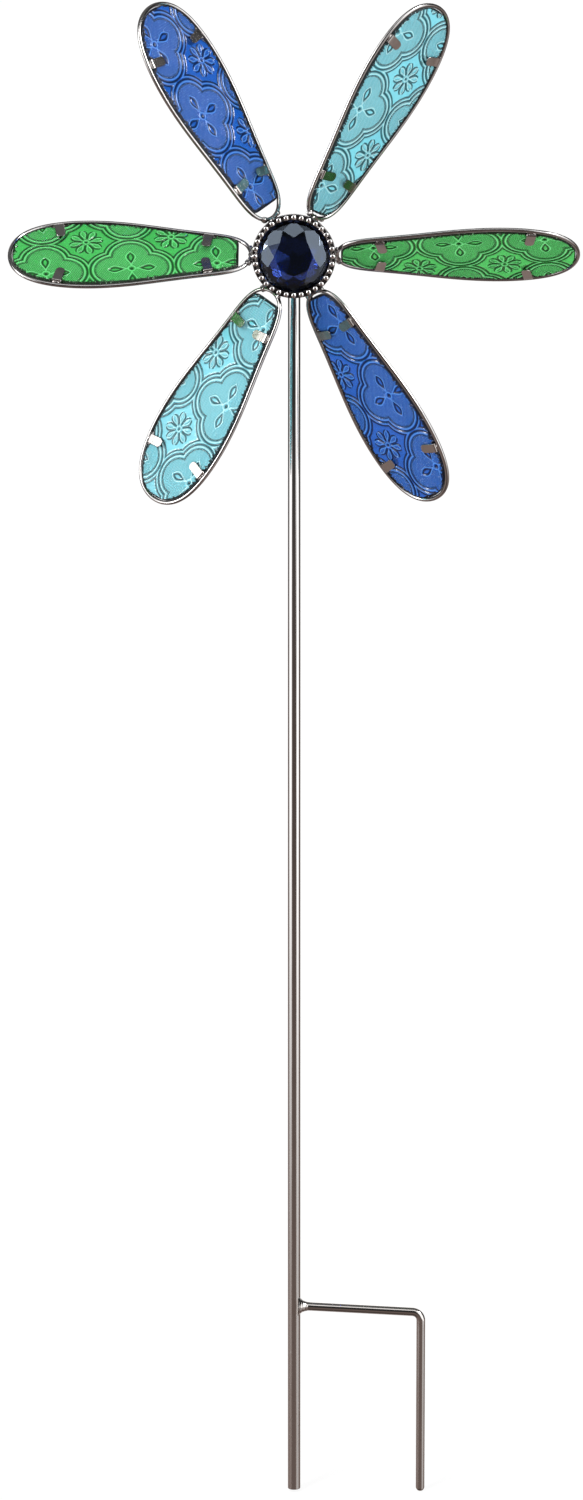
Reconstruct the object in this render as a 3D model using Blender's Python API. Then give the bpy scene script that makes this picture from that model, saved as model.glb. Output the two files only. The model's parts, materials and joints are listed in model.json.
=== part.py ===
"""Garden wind spinner: a six-petal glass wheel on a two-prong step-in stake. Metres, +Z up.

The wheel faces -Y. The origin is on the pole's axis at ground level, so everything below Z = 0 is
pushed into the soil. Each petal is built in its own frame (U outwards, V across, N out of its face)
and set on the wheel by an empty; the wheel's empty lies on the spin axis.
"""

import math

import bmesh
import bpy
from mathutils import Matrix, Vector

MM = 0.001

# Stake
POLE_RADIUS = 4.6 * MM
POLE_WALL = 1.1 * MM
POLE_FOOT_Z = -131.5 * MM
POLE_TOP_Z = 795.0 * MM
POLE_EDGE = 0.3 * MM
PRONG_RADIUS = 3.2 * MM
PRONG_X = 92.5 * MM
PRONG_FOOT_Z = -133.5 * MM
PRONG_BEND = 6.5 * MM
BAR_Z_AT_POLE = 8.0 * MM
BAR_FALL = math.radians(3.0)
WELD_RADIUS = 5.2 * MM
WELD_REACH = 9.6 * MM

# Wheel
WHEEL_Z = 781.0 * MM
WHEEL_Y = -38.0 * MM
PETALS = 6
PETAL_PITCH = (52.0, 47.0, 49.0, 54.0, 42.5, 44.5)  # degrees, each petal as it is bent by hand
PETAL_COLOURS = ("green_glass", "aqua_glass", "blue_glass")

# Petal loop: half width = sin(a) * sum(LOOP_SHAPE[k] * cos(k a)), with a from the hub end to the tip
WIRE_RADIUS = 1.5 * MM
LOOP_START = 30.0 * MM
LOOP_LENGTH = 168.0 * MM
LOOP_SHAPE = (36.0 * MM, -7.4 * MM, 7.0 * MM, 1.8 * MM, 1.5 * MM)
LOOP_POINTS = 52
GLASS_START = 36.0 * MM
GLASS_END_GAP = 3.1 * MM
GLASS_SIDE_GAP = 3.1 * MM
GLASS_THICK = 3.0 * MM

# Clips: a bent strip over the glass edge, s inwards from the wire's middle and n out of the petal's face
CLIP_THICK = 0.7 * MM
CLIP_WIDTH = 6.6 * MM
CLIP_WEB_S = 2.15 * MM
CLIP_FRONT_N = 2.4 * MM
CLIP_BACK_N = -2.15 * MM
CLIP_FRONT_REACH = 15.0 * MM
CLIP_BACK_REACH = 16.5 * MM
CLIP_BEND = 0.9 * MM
CLIP_PLACES = {"hub": 59.0 * MM, "tip": 165.0 * MM}  # distance out from the wheel's centre

# Hub, seen from the petal plane: w is the distance in front of it
HUB_RADIUS = 27.0 * MM
HUB_THICK = 2.0 * MM
BOSS_RADIUS = 11.0 * MM
BEARING_BORE = 8.15 * MM
LUG_SIZE = (3.2 * MM, 7.0 * MM, 3.0 * MM)
LUG_END = 28.2 * MM
BEZEL_RADIUS = 29.25 * MM
GEM_RADIUS = 25.2 * MM
TABLE_RADIUS = 13.6 * MM
STAR_RADIUS = 19.5 * MM
GEM_BACK_W = 7.9 * MM
GIRDLE_W = 9.4 * MM
TABLE_W = 15.8 * MM

# Ball bearing
BEARING_MIDDLE_Y = -35.5 * MM
BEARING_WIDTH = 4.8 * MM
RACE_CIRCLE = 5.25 * MM
BALL_RADIUS = 1.5 * MM
BALL_PLAY = 0.12 * MM
BALLS = 7

# Axle bolt and its hardware
BOLT_RADIUS = 2.45 * MM
BOLT_FRONT_Y = -39.8 * MM
BOLT_END_Y = 11.3 * MM
BOLT_HEAD_LONG = 3.2 * MM
HEX_RADIUS = 4.6 * MM
CLEAR_BORE = 2.7 * MM
SLEEVE_RADIUS = 4.2 * MM
WASHER_RADIUS = 5.4 * MM
WASHER_THICK = 1.0 * MM
TOUCH = 0.3 * MM  # gap between faces that rest on each other

FINISHES = {
    "pole_metal": ((0.23, 0.19, 0.18), 0.28, 1.0),
    "black_nickel": ((0.16, 0.15, 0.15), 0.22, 1.0),
    "clip_metal": ((0.30, 0.27, 0.26), 0.30, 1.0),
    "bearing_steel": ((0.62, 0.62, 0.63), 0.18, 1.0),
    "zinc_steel": ((0.55, 0.56, 0.58), 0.35, 1.0),
    "cage_nylon": ((0.80, 0.78, 0.72), 0.50, 0.0),
    "green_glass": ((0.03, 0.42, 0.10), 0.08, 0.0),
    "aqua_glass": ((0.14, 0.62, 0.78), 0.08, 0.0),
    "blue_glass": ((0.02, 0.12, 0.60), 0.08, 0.0),
    "gem_glass": ((0.01, 0.02, 0.10), 0.03, 0.0),
}


def clear_scene():
    for thing in list(bpy.data.objects):
        bpy.data.objects.remove(thing, do_unlink=True)


def finish_of(name):
    """The Principled material of one finish, made once."""
    found = bpy.data.materials.get(name)
    if found:
        return found
    colour, roughness, metallic = FINISHES[name]
    made = bpy.data.materials.new(name)
    made.use_nodes = True
    shader = made.node_tree.nodes["Principled BSDF"]
    shader.inputs["Base Color"].default_value = (*colour, 1.0)
    shader.inputs["Roughness"].default_value = roughness
    shader.inputs["Metallic"].default_value = metallic
    if name.endswith("_glass"):
        shader.inputs["Transmission Weight"].default_value = 0.8
    return made


def add_empty(name, matrix, parent=None):
    empty = bpy.data.objects.new(name, None)
    bpy.context.scene.collection.objects.link(empty)
    empty.parent = parent
    empty.matrix_parent_inverse = Matrix.Identity(4)
    empty.matrix_basis = matrix
    return empty


def add_object(name, data, finish, parent=None, matrix=None):
    """One named sub-part. Data that is shared keeps the first object's finish unless it has its own."""
    thing = bpy.data.objects.new(name, data)
    bpy.context.scene.collection.objects.link(thing)
    if not data.materials:
        data.materials.append(None)
    slot = thing.material_slots[0]
    slot.link = "OBJECT"
    slot.material = finish_of(finish)
    if parent:
        thing.parent = parent
    thing.matrix_basis = matrix or Matrix.Identity(4)
    return thing


def helper(thing):
    """Marks an object that only shapes another one."""
    thing.hide_render = True
    thing.display_type = "WIRE"
    return thing


def mesh_from(shape, name):
    bmesh.ops.recalc_face_normals(shape, faces=shape.faces)
    mesh = bpy.data.meshes.new(name)
    shape.to_mesh(mesh)
    shape.free()
    mesh.shade_smooth()
    mesh.set_sharp_from_angle(angle=math.radians(35))
    return mesh


def turned_mesh(name, profile, axis, segments, turn=2 * math.pi):
    """Spins a closed outline of (radius, along) points about Y or Z. A part turn leaves capped ends."""
    shape = bmesh.new()
    if axis == "Y":
        points = [Vector((r, along, 0)) for r, along in profile]
        spin_axis = Vector((0, 1, 0))
    else:
        points = [Vector((r, 0, along)) for r, along in profile]
        spin_axis = Vector((0, 0, 1))
    face = shape.faces.new([shape.verts.new(p) for p in points])
    whole = turn >= 2 * math.pi
    start = shape.edges[:] + shape.verts[:] if whole else shape.faces[:] + shape.edges[:] + shape.verts[:]
    bmesh.ops.spin(shape, geom=start, cent=(0, 0, 0), axis=spin_axis, angle=turn, steps=segments,
                   use_merge=whole)
    if whole:
        shape.faces.remove(face)
        bmesh.ops.remove_doubles(shape, verts=shape.verts, dist=1e-6)
    return mesh_from(shape, name)


def turned(name, profile, finish, axis="Y", segments=32, parent=None, matrix=None):
    return add_object(name, turned_mesh(name, profile, axis, segments), finish, parent, matrix)


def ring_profile(inner, outer, low, high):
    return [(inner, low), (outer, low), (outer, high), (inner, high)]


def extruded_mesh(name, outline, offset):
    """A flat outline of 3-D points, pushed along the vector offset."""
    shape = bmesh.new()
    face = shape.faces.new([shape.verts.new(p) for p in outline])
    pushed = bmesh.ops.extrude_face_region(shape, geom=[face])
    moved = [item for item in pushed["geom"] if isinstance(item, bmesh.types.BMVert)]
    bmesh.ops.translate(shape, verts=moved, vec=offset)
    return mesh_from(shape, name)


def cut(thing, cutter, operation="DIFFERENCE"):
    modifier = thing.modifiers.new(cutter.name, "BOOLEAN")
    modifier.operation = operation
    modifier.solver = "EXACT"
    modifier.object = helper(cutter)


def cylinder_mesh(name, radius, start, end, segments=24):
    """A plain solid cylinder between two points."""
    shape = bmesh.new()
    axis = end - start
    turn = Vector((0, 0, 1)).rotation_difference(axis).to_matrix().to_4x4()
    place = Matrix.Translation((start + end) / 2) @ turn
    bmesh.ops.create_cone(shape, cap_ends=True, segments=segments, radius1=radius, radius2=radius,
                          depth=axis.length, matrix=place)
    return mesh_from(shape, name)


# ---------------------------------------------------------------- stake


def build_pole():
    """The open tube, drilled across at the top for the axle bolt."""
    inside = POLE_RADIUS - POLE_WALL
    profile = [
        (inside, POLE_FOOT_Z),
        (POLE_RADIUS - POLE_EDGE, POLE_FOOT_Z),
        (POLE_RADIUS, POLE_FOOT_Z + POLE_EDGE),
        (POLE_RADIUS, POLE_TOP_Z),
        (inside, POLE_TOP_Z),
    ]
    pole = turned("pole", profile, "pole_metal", axis="Z", segments=24)
    reach = Vector((0, 2 * POLE_RADIUS, 0))
    centre = Vector((0, 0, WHEEL_Z))
    drill = cylinder_mesh("axle_drill", CLEAR_BORE, centre - reach, centre + reach, 16)
    cut(pole, add_object("axle_drill", drill, "pole_metal"))


def build_pole_cap():
    """The plug that closes the tube's top."""
    stem = POLE_RADIUS - POLE_WALL - TOUCH
    seat = POLE_TOP_Z + TOUCH
    profile = [
        (0, POLE_TOP_Z - 4 * MM),
        (stem, POLE_TOP_Z - 4 * MM),
        (stem, seat),
        (POLE_RADIUS, seat),
        (POLE_RADIUS, seat + 1.2 * MM),
        (POLE_RADIUS * 0.8, seat + 2.2 * MM),
        (0, seat + 2.2 * MM),
    ]
    turned("pole_cap", profile, "pole_metal", axis="Z", segments=24)


def prong_route():
    """Centre line of the L-shaped rod, with the share of its full radius at each point."""
    slope = Vector((math.cos(BAR_FALL), 0, -math.sin(BAR_FALL)))
    start = Vector((POLE_RADIUS + TOUCH, 0, BAR_Z_AT_POLE - POLE_RADIUS * math.tan(BAR_FALL)))
    turn = math.pi / 2 - BAR_FALL
    back = PRONG_BEND * math.tan(turn / 2)
    corner_z = start.z - (PRONG_X - start.x) * math.tan(BAR_FALL)
    corner = Vector((PRONG_X, 0, corner_z))
    bend_start = corner - slope * back
    centre = bend_start + Vector((slope.z, 0, -slope.x)) * PRONG_BEND
    points = [(start, 1.0)]
    steps = 6
    for step in range(steps + 1):
        angle = turn * step / steps
        spoke = bend_start - centre
        spoke.rotate(Matrix.Rotation(angle, 3, "Y"))
        points.append((centre + spoke, 1.0))
    for step in range(4):
        lift = PRONG_RADIUS * (1 - math.sin(math.radians(25 * step)))
        share = math.cos(math.radians(25 * step))
        points.append((Vector((PRONG_X, 0, PRONG_FOOT_Z + lift)), share))
    return points


def build_prong():
    """The solid rod that steps out from the pole and turns down beside it."""
    curve = bpy.data.curves.new("prong", "CURVE")
    curve.dimensions = "3D"
    curve.bevel_depth = PRONG_RADIUS
    curve.bevel_resolution = 4
    curve.use_fill_caps = True
    spline = curve.splines.new("POLY")
    route = prong_route()
    spline.points.add(len(route) - 1)
    for point, (place, share) in zip(spline.points, route):
        point.co = (*place, 1.0)
        point.radius = share
    add_object("prong", curve, "pole_metal")


def build_prong_weld():
    """The flared weld that wraps the rod's root and sits against the tube."""
    fall = math.tan(BAR_FALL)
    root = Vector((0, 0, BAR_Z_AT_POLE))
    tip = Vector((WELD_REACH, 0, BAR_Z_AT_POLE - WELD_REACH * fall))
    shape = bmesh.new()
    axis = tip - root
    turn = Vector((0, 0, 1)).rotation_difference(axis).to_matrix().to_4x4()
    bmesh.ops.create_cone(shape, cap_ends=True, segments=24, radius1=WELD_RADIUS * 1.15,
                          radius2=PRONG_RADIUS + 0.5 * MM, depth=axis.length,
                          matrix=Matrix.Translation((root + tip) / 2) @ turn)
    weld = add_object("prong_weld", mesh_from(shape, "prong_weld"), "pole_metal")
    up = Vector((0, 0, 20 * MM))
    tube = cylinder_mesh("weld_tube_cutter", POLE_RADIUS + TOUCH, root - up, root + up, 32)
    rod = cylinder_mesh("weld_rod_cutter", PRONG_RADIUS + 0.2 * MM, root - axis, root + 2 * axis, 24)
    cut(weld, add_object("weld_tube_cutter", tube, "pole_metal"))
    cut(weld, add_object("weld_rod_cutter", rod, "pole_metal"))


# ---------------------------------------------------------------- axle and bearing


def bearing_ends():
    half = BEARING_WIDTH / 2
    return BEARING_MIDDLE_Y - half, BEARING_MIDDLE_Y + half


def hex_prism_mesh(name, radius, low_y, high_y):
    return cylinder_mesh(name, radius, Vector((0, low_y, 0)), Vector((0, high_y, 0)), 6)


def build_axle(axle):
    """The through bolt with its hex head inside the hub, the washers, sleeve and cap nut."""
    head_front = BOLT_FRONT_Y - BOLT_HEAD_LONG
    bolt = add_object("axle_bolt", hex_prism_mesh("axle_bolt", HEX_RADIUS, head_front, BOLT_FRONT_Y),
                      "zinc_steel", axle)
    shank = cylinder_mesh("bolt_shank", BOLT_RADIUS, Vector((0, BOLT_FRONT_Y - 1 * MM, 0)),
                          Vector((0, BOLT_END_Y, 0)), 20)
    cut(bolt, add_object("bolt_shank", shank, "zinc_steel", axle), "UNION")

    front, back = bearing_ends()
    turned("front_washer", ring_profile(CLEAR_BORE, WASHER_RADIUS, front - TOUCH - WASHER_THICK, front - TOUCH),
           "zinc_steel", segments=24, parent=axle)
    turned("spacer_sleeve", ring_profile(CLEAR_BORE, SLEEVE_RADIUS, back + TOUCH, -POLE_RADIUS - TOUCH),
           "zinc_steel", segments=24, parent=axle)
    washer_y = POLE_RADIUS + TOUCH
    turned("rear_washer", ring_profile(CLEAR_BORE, WASHER_RADIUS, washer_y, washer_y + WASHER_THICK),
           "zinc_steel", segments=24, parent=axle)
    build_acorn_nut(axle, washer_y + WASHER_THICK + TOUCH)


def build_acorn_nut(axle, seat_y):
    """A domed cap nut over the bolt's end, with a blind bore."""
    hex_end = seat_y + 4.0 * MM
    nut = add_object("acorn_nut", hex_prism_mesh("acorn_nut", HEX_RADIUS, seat_y, hex_end), "zinc_steel", axle)
    dome_radius = 3.9 * MM
    steps = 5
    profile = [(0, hex_end - 1 * MM), (dome_radius, hex_end - 1 * MM)]
    for step in range(steps):
        angle = math.pi / 2 * step / steps
        profile.append((dome_radius * math.cos(angle), hex_end + dome_radius * math.sin(angle)))
    profile.append((0, hex_end + dome_radius))
    dome = add_object("nut_dome", turned_mesh("nut_dome", profile, "Y", 20), "zinc_steel", axle)
    bore = cylinder_mesh("nut_bore", CLEAR_BORE, Vector((0, seat_y - 1 * MM, 0)),
                         Vector((0, BOLT_END_Y + TOUCH, 0)), 20)
    cut(nut, dome, "UNION")
    cut(nut, add_object("nut_bore", bore, "zinc_steel", axle))


def race_profile(shoulder, back_wall, groove):
    """A bearing ring's outline: flat wall, two shoulders and a round groove between them."""
    low, high = bearing_ends()
    half = 1.35 * MM
    deep = groove - shoulder
    middle = BEARING_MIDDLE_Y
    outline = [(back_wall, low), (back_wall, high), (shoulder, high)]
    for share in (1.0, 0.72, 0.25, -0.25, -0.72, -1.0):
        outline.append((shoulder + deep * math.sqrt(1 - share * share), middle + half * share))
    outline.append((shoulder, low))
    return outline


def build_bearing(axle, wheel, ball_set):
    """Inner ring on the axle, outer ring in the wheel, and the balls in their cage between them."""
    gap = BALL_RADIUS + BALL_PLAY
    turned("bearing_inner_ring", race_profile(4.2 * MM, 2.6 * MM, RACE_CIRCLE - gap), "bearing_steel",
           segments=28, parent=axle)
    turned("bearing_outer_ring", race_profile(6.3 * MM, 8.0 * MM, RACE_CIRCLE + gap), "bearing_steel",
           segments=28, parent=wheel)
    ball = bmesh.new()
    bmesh.ops.create_uvsphere(ball, u_segments=12, v_segments=7, radius=BALL_RADIUS)
    ball_mesh = mesh_from(ball, "ball")
    cage_profile = ring_profile(4.8 * MM, 5.7 * MM, BEARING_MIDDLE_Y - 0.6 * MM, BEARING_MIDDLE_Y + 2.0 * MM)
    cage = turned("ball_cage", cage_profile, "cage_nylon", segments=42, parent=ball_set)
    pockets = bmesh.new()
    for number in range(BALLS):
        angle = 2 * math.pi * number / BALLS
        place = Vector((RACE_CIRCLE * math.cos(angle), BEARING_MIDDLE_Y, RACE_CIRCLE * math.sin(angle)))
        add_object(f"ball_{number + 1}", ball_mesh, "bearing_steel", ball_set, Matrix.Translation(place))
        bmesh.ops.create_uvsphere(pockets, u_segments=12, v_segments=7, radius=gap,
                                  matrix=Matrix.Translation(place))
    cut(cage, add_object("cage_pockets", mesh_from(pockets, "cage_pockets"), "cage_nylon", ball_set))


# ---------------------------------------------------------------- hub


def in_front(w):
    """Y of a point that lies w in front of the petal plane."""
    return WHEEL_Y - w


def build_hub_plate(wheel):
    """The plate that the petals are welded to, with the bearing boss at its back."""
    front = in_front(HUB_THICK / 2)
    back = in_front(-HUB_THICK / 2)
    shoulder = bearing_ends()[1] + 0.2 * MM
    groove = bearing_ends()[0] - 0.1 * MM
    profile = [
        (HUB_RADIUS, front),
        (HUB_RADIUS, back),
        (BOSS_RADIUS + 1.2 * MM, back),
        (BOSS_RADIUS, back + 1.2 * MM),
        (BOSS_RADIUS, shoulder + 1.1 * MM),
        (6.9 * MM, shoulder + 1.1 * MM),
        (6.9 * MM, shoulder),
        (BEARING_BORE, shoulder),
        (BEARING_BORE, groove),
        (8.6 * MM, groove),
        (8.6 * MM, groove - 0.85 * MM),
        (BEARING_BORE, groove - 0.85 * MM),
        (BEARING_BORE, front),
    ]
    hub = turned("hub_plate", profile, "black_nickel", segments=36, parent=wheel)
    lugs = bmesh.new()
    for number in range(PETALS):
        place = petal_matrix(number) @ Matrix.Translation((LUG_END - LUG_SIZE[0] / 2, 0, 0))
        bmesh.ops.create_cube(lugs, size=1, matrix=wheel_offset() @ place @ Matrix.Diagonal((*LUG_SIZE, 1)))
    cut(hub, add_object("hub_lugs", mesh_from(lugs, "hub_lugs"), "black_nickel", wheel), "UNION")


def build_snap_ring(wheel):
    """The open ring that keeps the bearing in the boss."""
    front = bearing_ends()[0] - 0.85 * MM
    profile = ring_profile(7.0 * MM, 8.45 * MM, front, front + 0.65 * MM)
    gap = math.radians(38)
    mesh = turned_mesh("snap_ring", profile, "Y", 24, 2 * math.pi - gap)
    add_object("snap_ring", mesh, "bearing_steel", wheel)


def build_bezel(wheel):
    """The cup that stands on the hub plate and holds the gem."""
    outline = [
        (24.0, 1.3), (24.0, 6.0), (28.4, 6.0), (29.25, 7.0), (29.25, 12.0), (28.5, 13.0), (26.6, 13.0),
        (25.6, 12.2), (25.6, 7.6), (12.0, 7.6), (12.0, 6.4), (22.5, 6.4), (22.5, 1.3),
    ]
    share = BEZEL_RADIUS / 29.25
    profile = [(r * share, in_front(w * MM)) for r, w in outline]
    turned("bezel", profile, "black_nickel", segments=48, parent=wheel)


def build_gem(wheel):
    """A flat-backed round brilliant: octagonal table, eight kites and stars, sixteen girdle facets."""
    main = (STAR_RADIUS * math.cos(math.pi / 8) - TABLE_RADIUS) / (GEM_RADIUS - TABLE_RADIUS)
    star_w = TABLE_W - main * (TABLE_W - GIRDLE_W)
    rings = [
        (8, 0, TABLE_RADIUS, TABLE_W),
        (8, math.pi / 8, STAR_RADIUS, star_w),
        (16, 0, GEM_RADIUS, GIRDLE_W),
        (16, 0, GEM_RADIUS, GEM_BACK_W),
    ]
    shape = bmesh.new()
    for count, start, radius, w in rings:
        for number in range(count):
            angle = start + 2 * math.pi * number / count
            shape.verts.new((radius * math.cos(angle), in_front(w), radius * math.sin(angle)))
    bmesh.ops.convex_hull(shape, input=shape.verts)
    mesh = mesh_from(shape, "gem")
    mesh.shade_flat()
    add_object("gem", mesh, "gem_glass", wheel)


# ---------------------------------------------------------------- petals


def wheel_offset():
    return Matrix.Translation((0, WHEEL_Y, 0))


def petal_matrix(number):
    """Turns the petal's own frame (U, V, N) to its angle on the wheel and to its pitch."""
    angle = 2 * math.pi * number / PETALS
    pitch = math.radians(PETAL_PITCH[number])
    out = Vector((math.cos(angle), 0, math.sin(angle)))
    round_ = Vector((-math.sin(angle), 0, math.cos(angle)))
    across = round_ * math.cos(pitch) + Vector((0, -1, 0)) * math.sin(pitch)
    face = out.cross(across)
    return Matrix((out, across, face)).transposed().to_4x4()


def loop_point(angle, start=LOOP_START, length=LOOP_LENGTH, narrower=0.0):
    """Point of the teardrop at angle a: 0 at the hub end, pi at the tip, negative on the other side."""
    along = start + length * (1 - math.cos(angle)) / 2
    width = sum(part * math.cos(order * angle) for order, part in enumerate(LOOP_SHAPE)) - narrower
    return Vector((along, math.sin(angle) * width, 0))


def outline_angles(count):
    return [2 * math.pi * number / count for number in range(count)]


def loop_curve():
    curve = bpy.data.curves.new("petal_frame", "CURVE")
    curve.dimensions = "3D"
    curve.bevel_depth = WIRE_RADIUS
    curve.bevel_resolution = 2
    spline = curve.splines.new("POLY")
    points = [loop_point(angle) for angle in outline_angles(LOOP_POINTS)]
    spline.points.add(len(points) - 1)
    for point, place in zip(spline.points, points):
        point.co = (*place, 1.0)
    spline.use_cyclic_u = True
    return curve


def glass_mesh():
    """The pane: the loop's teardrop drawn narrower, and cut short of the loop at the hub end."""
    length = LOOP_START + LOOP_LENGTH - GLASS_END_GAP - GLASS_START
    down = Vector((0, 0, -GLASS_THICK / 2))
    outline = [
        loop_point(angle, GLASS_START, length, GLASS_SIDE_GAP) + down for angle in outline_angles(LOOP_POINTS)
    ]
    return extruded_mesh("petal_glass", outline, Vector((0, 0, GLASS_THICK)))


def clip_mesh():
    """The bent strip in its own frame: X inwards from the wire, Y along it, Z out of the petal's face."""
    bend = CLIP_BEND
    slack = bend * (1 - math.sin(math.pi / 4))
    middle = [
        (CLIP_BACK_REACH, CLIP_BACK_N),
        (CLIP_WEB_S + bend, CLIP_BACK_N),
        (CLIP_WEB_S + slack, CLIP_BACK_N + slack),
        (CLIP_WEB_S, CLIP_BACK_N + bend),
        (CLIP_WEB_S, CLIP_FRONT_N - bend),
        (CLIP_WEB_S + slack, CLIP_FRONT_N - slack),
        (CLIP_WEB_S + bend, CLIP_FRONT_N),
        (CLIP_FRONT_REACH, CLIP_FRONT_N),
    ]
    outline = strip_outline([Vector(point) for point in middle], CLIP_THICK / 2)
    points = [Vector((s, -CLIP_WIDTH / 2, n)) for s, n in outline]
    return extruded_mesh("clip", points, Vector((0, CLIP_WIDTH, 0)))


def strip_outline(middle, half):
    """Both sides of a bent line, each half a thickness away from it, as one closed outline."""
    sides = ([], [])
    for number, point in enumerate(middle):
        before = middle[max(number - 1, 0)]
        after = middle[min(number + 1, len(middle) - 1)]
        first = (point - before).normalized() if number else (after - point).normalized()
        second = (after - point).normalized() if number < len(middle) - 1 else first
        mitre = (first + second).normalized()
        normal = Vector((-mitre.y, mitre.x)) * (half / mitre.dot(first))
        sides[0].append(point + normal)
        sides[1].append(point - normal)
    return sides[0] + sides[1][::-1]


def clip_matrix(place_u, side):
    """Where a clip sits on the loop, on the +V side (side 1) or the -V side (side -1)."""
    low, high = 0.0, math.pi
    for _ in range(40):
        middle = (low + high) / 2
        if loop_point(middle).x < place_u:
            low = middle
        else:
            high = middle
    step = 1e-3
    run = loop_point(low + step) - loop_point(low - step)
    at = loop_point(low)
    at.y *= side
    run.y *= side
    inward = Vector((run.y, -run.x, 0)).normalized() * side
    up = Vector((0, 0, 1))
    return Matrix.Translation(at) @ Matrix((inward, up.cross(inward), up)).transposed().to_4x4()


def build_petals(wheel):
    """Six loops of wire, each with its pane of glass and four clips."""
    frame, glass, clip = loop_curve(), glass_mesh(), clip_mesh()
    for number in range(PETALS):
        name = f"petal_{number + 1}"
        mount = add_empty(name, wheel_offset() @ petal_matrix(number), wheel)
        add_object(f"{name}_frame", frame, "black_nickel", mount)
        add_object(f"{name}_glass", glass, PETAL_COLOURS[number % 3], mount)
        for place, distance in CLIP_PLACES.items():
            for side, letter in ((1, "a"), (-1, "b")):
                add_object(f"{name}_clip_{place}_{letter}", clip, "clip_metal", mount, clip_matrix(distance, side))


def main():
    clear_scene()
    hub_height = Matrix.Translation((0, 0, WHEEL_Z))
    axle = add_empty("axle_axis", hub_height)
    wheel = add_empty("wheel_axis", hub_height)
    ball_set = add_empty("ball_axis", hub_height)
    build_pole()
    build_pole_cap()
    build_prong()
    build_prong_weld()
    build_axle(axle)
    build_bearing(axle, wheel, ball_set)
    build_hub_plate(wheel)
    build_snap_ring(wheel)
    build_bezel(wheel)
    build_gem(wheel)
    build_petals(wheel)


main()
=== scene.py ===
"""Garden wind spinner: the finished surfaces of its glass wheel and step-in stake.

The fixed frame gives every place. Petals are built in their own frame, U outwards from the wheel's
centre, V across the petal and N out of its face, and are then set on the wheel.
"""

import json
import math

import bmesh
import bpy
import numpy as np
from bpy.props import FloatProperty, FloatVectorProperty, IntProperty, PointerProperty
from mathutils import Matrix, Vector, noise


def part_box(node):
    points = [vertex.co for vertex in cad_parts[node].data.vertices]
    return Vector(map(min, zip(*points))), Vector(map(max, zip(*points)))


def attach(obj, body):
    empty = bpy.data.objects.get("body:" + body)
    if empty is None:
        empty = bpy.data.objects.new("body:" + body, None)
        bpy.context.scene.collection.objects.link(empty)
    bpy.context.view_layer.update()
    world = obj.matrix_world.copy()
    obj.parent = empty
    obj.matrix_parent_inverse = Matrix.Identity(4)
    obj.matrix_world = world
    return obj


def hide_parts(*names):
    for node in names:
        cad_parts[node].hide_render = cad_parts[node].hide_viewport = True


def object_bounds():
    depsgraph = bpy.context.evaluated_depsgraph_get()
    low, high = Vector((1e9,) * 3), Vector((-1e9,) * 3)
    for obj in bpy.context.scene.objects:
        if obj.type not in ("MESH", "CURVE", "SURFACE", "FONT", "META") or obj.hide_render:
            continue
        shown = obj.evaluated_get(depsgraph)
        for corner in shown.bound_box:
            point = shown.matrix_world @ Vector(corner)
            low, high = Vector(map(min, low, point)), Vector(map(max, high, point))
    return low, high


bl_info = {
    "name": "Garden Wind Spinner",
    "version": (1, 0, 0),
    "blender": (4, 5, 0),
    "location": "3D View > Sidebar > Spinner",
    "description": "Glass petals, metalwork and stake of a garden wind spinner, around its fixed frame",
    "category": "Add Mesh",
}

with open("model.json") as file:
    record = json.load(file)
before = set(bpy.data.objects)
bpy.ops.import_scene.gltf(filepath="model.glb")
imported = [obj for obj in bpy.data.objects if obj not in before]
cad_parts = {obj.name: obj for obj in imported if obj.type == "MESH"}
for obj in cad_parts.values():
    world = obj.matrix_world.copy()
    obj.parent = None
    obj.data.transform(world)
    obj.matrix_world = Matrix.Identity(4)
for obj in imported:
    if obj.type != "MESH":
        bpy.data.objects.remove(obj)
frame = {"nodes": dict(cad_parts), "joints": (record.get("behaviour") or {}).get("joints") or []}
CAD_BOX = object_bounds()

MM = 0.001
WHEEL = Vector(frame["joints"][0]["pos_m"])
POLE_LOW, POLE_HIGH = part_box("pole")
POLE_RADIUS = (POLE_HIGH.x - POLE_LOW.x) / 2

# Petals, as the frame has them
PETALS = 6
PETAL_PITCH = (52.0, 47.0, 49.0, 54.0, 42.5, 44.5)
GLASS_NAMES = ("green_glass", "aqua_glass", "blue_glass")
LOOP_START = 30.0 * MM
LOOP_LENGTH = 168.0 * MM
LOOP_SHAPE = (36.0 * MM, -7.4 * MM, 7.0 * MM, 1.8 * MM, 1.5 * MM)
CLIP_PLACES = {"hub": 59.0 * MM, "tip": 165.0 * MM}
PANE_STARTS = (32.8 * MM, 33.0 * MM, 38.6 * MM, 38.4 * MM, 36.4 * MM, 32.9 * MM)
PANE_HALF_THICK = 1.5 * MM

# Hub, with w the distance in front of the petals' plane
GEM_RADIUS = 25.2 * MM
TABLE_RADIUS = 13.6 * MM
STAR_RADIUS = 19.5 * MM
GIRDLE_W = 9.4 * MM
TABLE_W = 15.8 * MM


# ---------------------------------------------------------------- settings


def length(name, about, default, low=0.0, high=1.0):
    """A length in metres that a user can change."""
    return FloatProperty(name=name, description=about, default=default, min=low, max=high,
                         subtype="DISTANCE", unit="LENGTH", precision=5)


def share(name, about, default):
    """A number from 0 to 1."""
    return FloatProperty(name=name, description=about, default=default, min=0.0, max=1.0, subtype="FACTOR")


def colour(name, about, default):
    """A colour in linear light."""
    return FloatVectorProperty(name=name, description=about, default=default, size=3, min=0.0, max=1.0,
                               subtype="COLOR")


def strength(name, about, default, low=0.0):
    """A plain number that is never below low."""
    return FloatProperty(name=name, description=about, default=default, min=low)


def angle(name, about, degrees):
    """An angle, given here in degrees."""
    return FloatProperty(name=name, description=about, default=math.radians(degrees), subtype="ANGLE",
                         unit="ROTATION")


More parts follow.
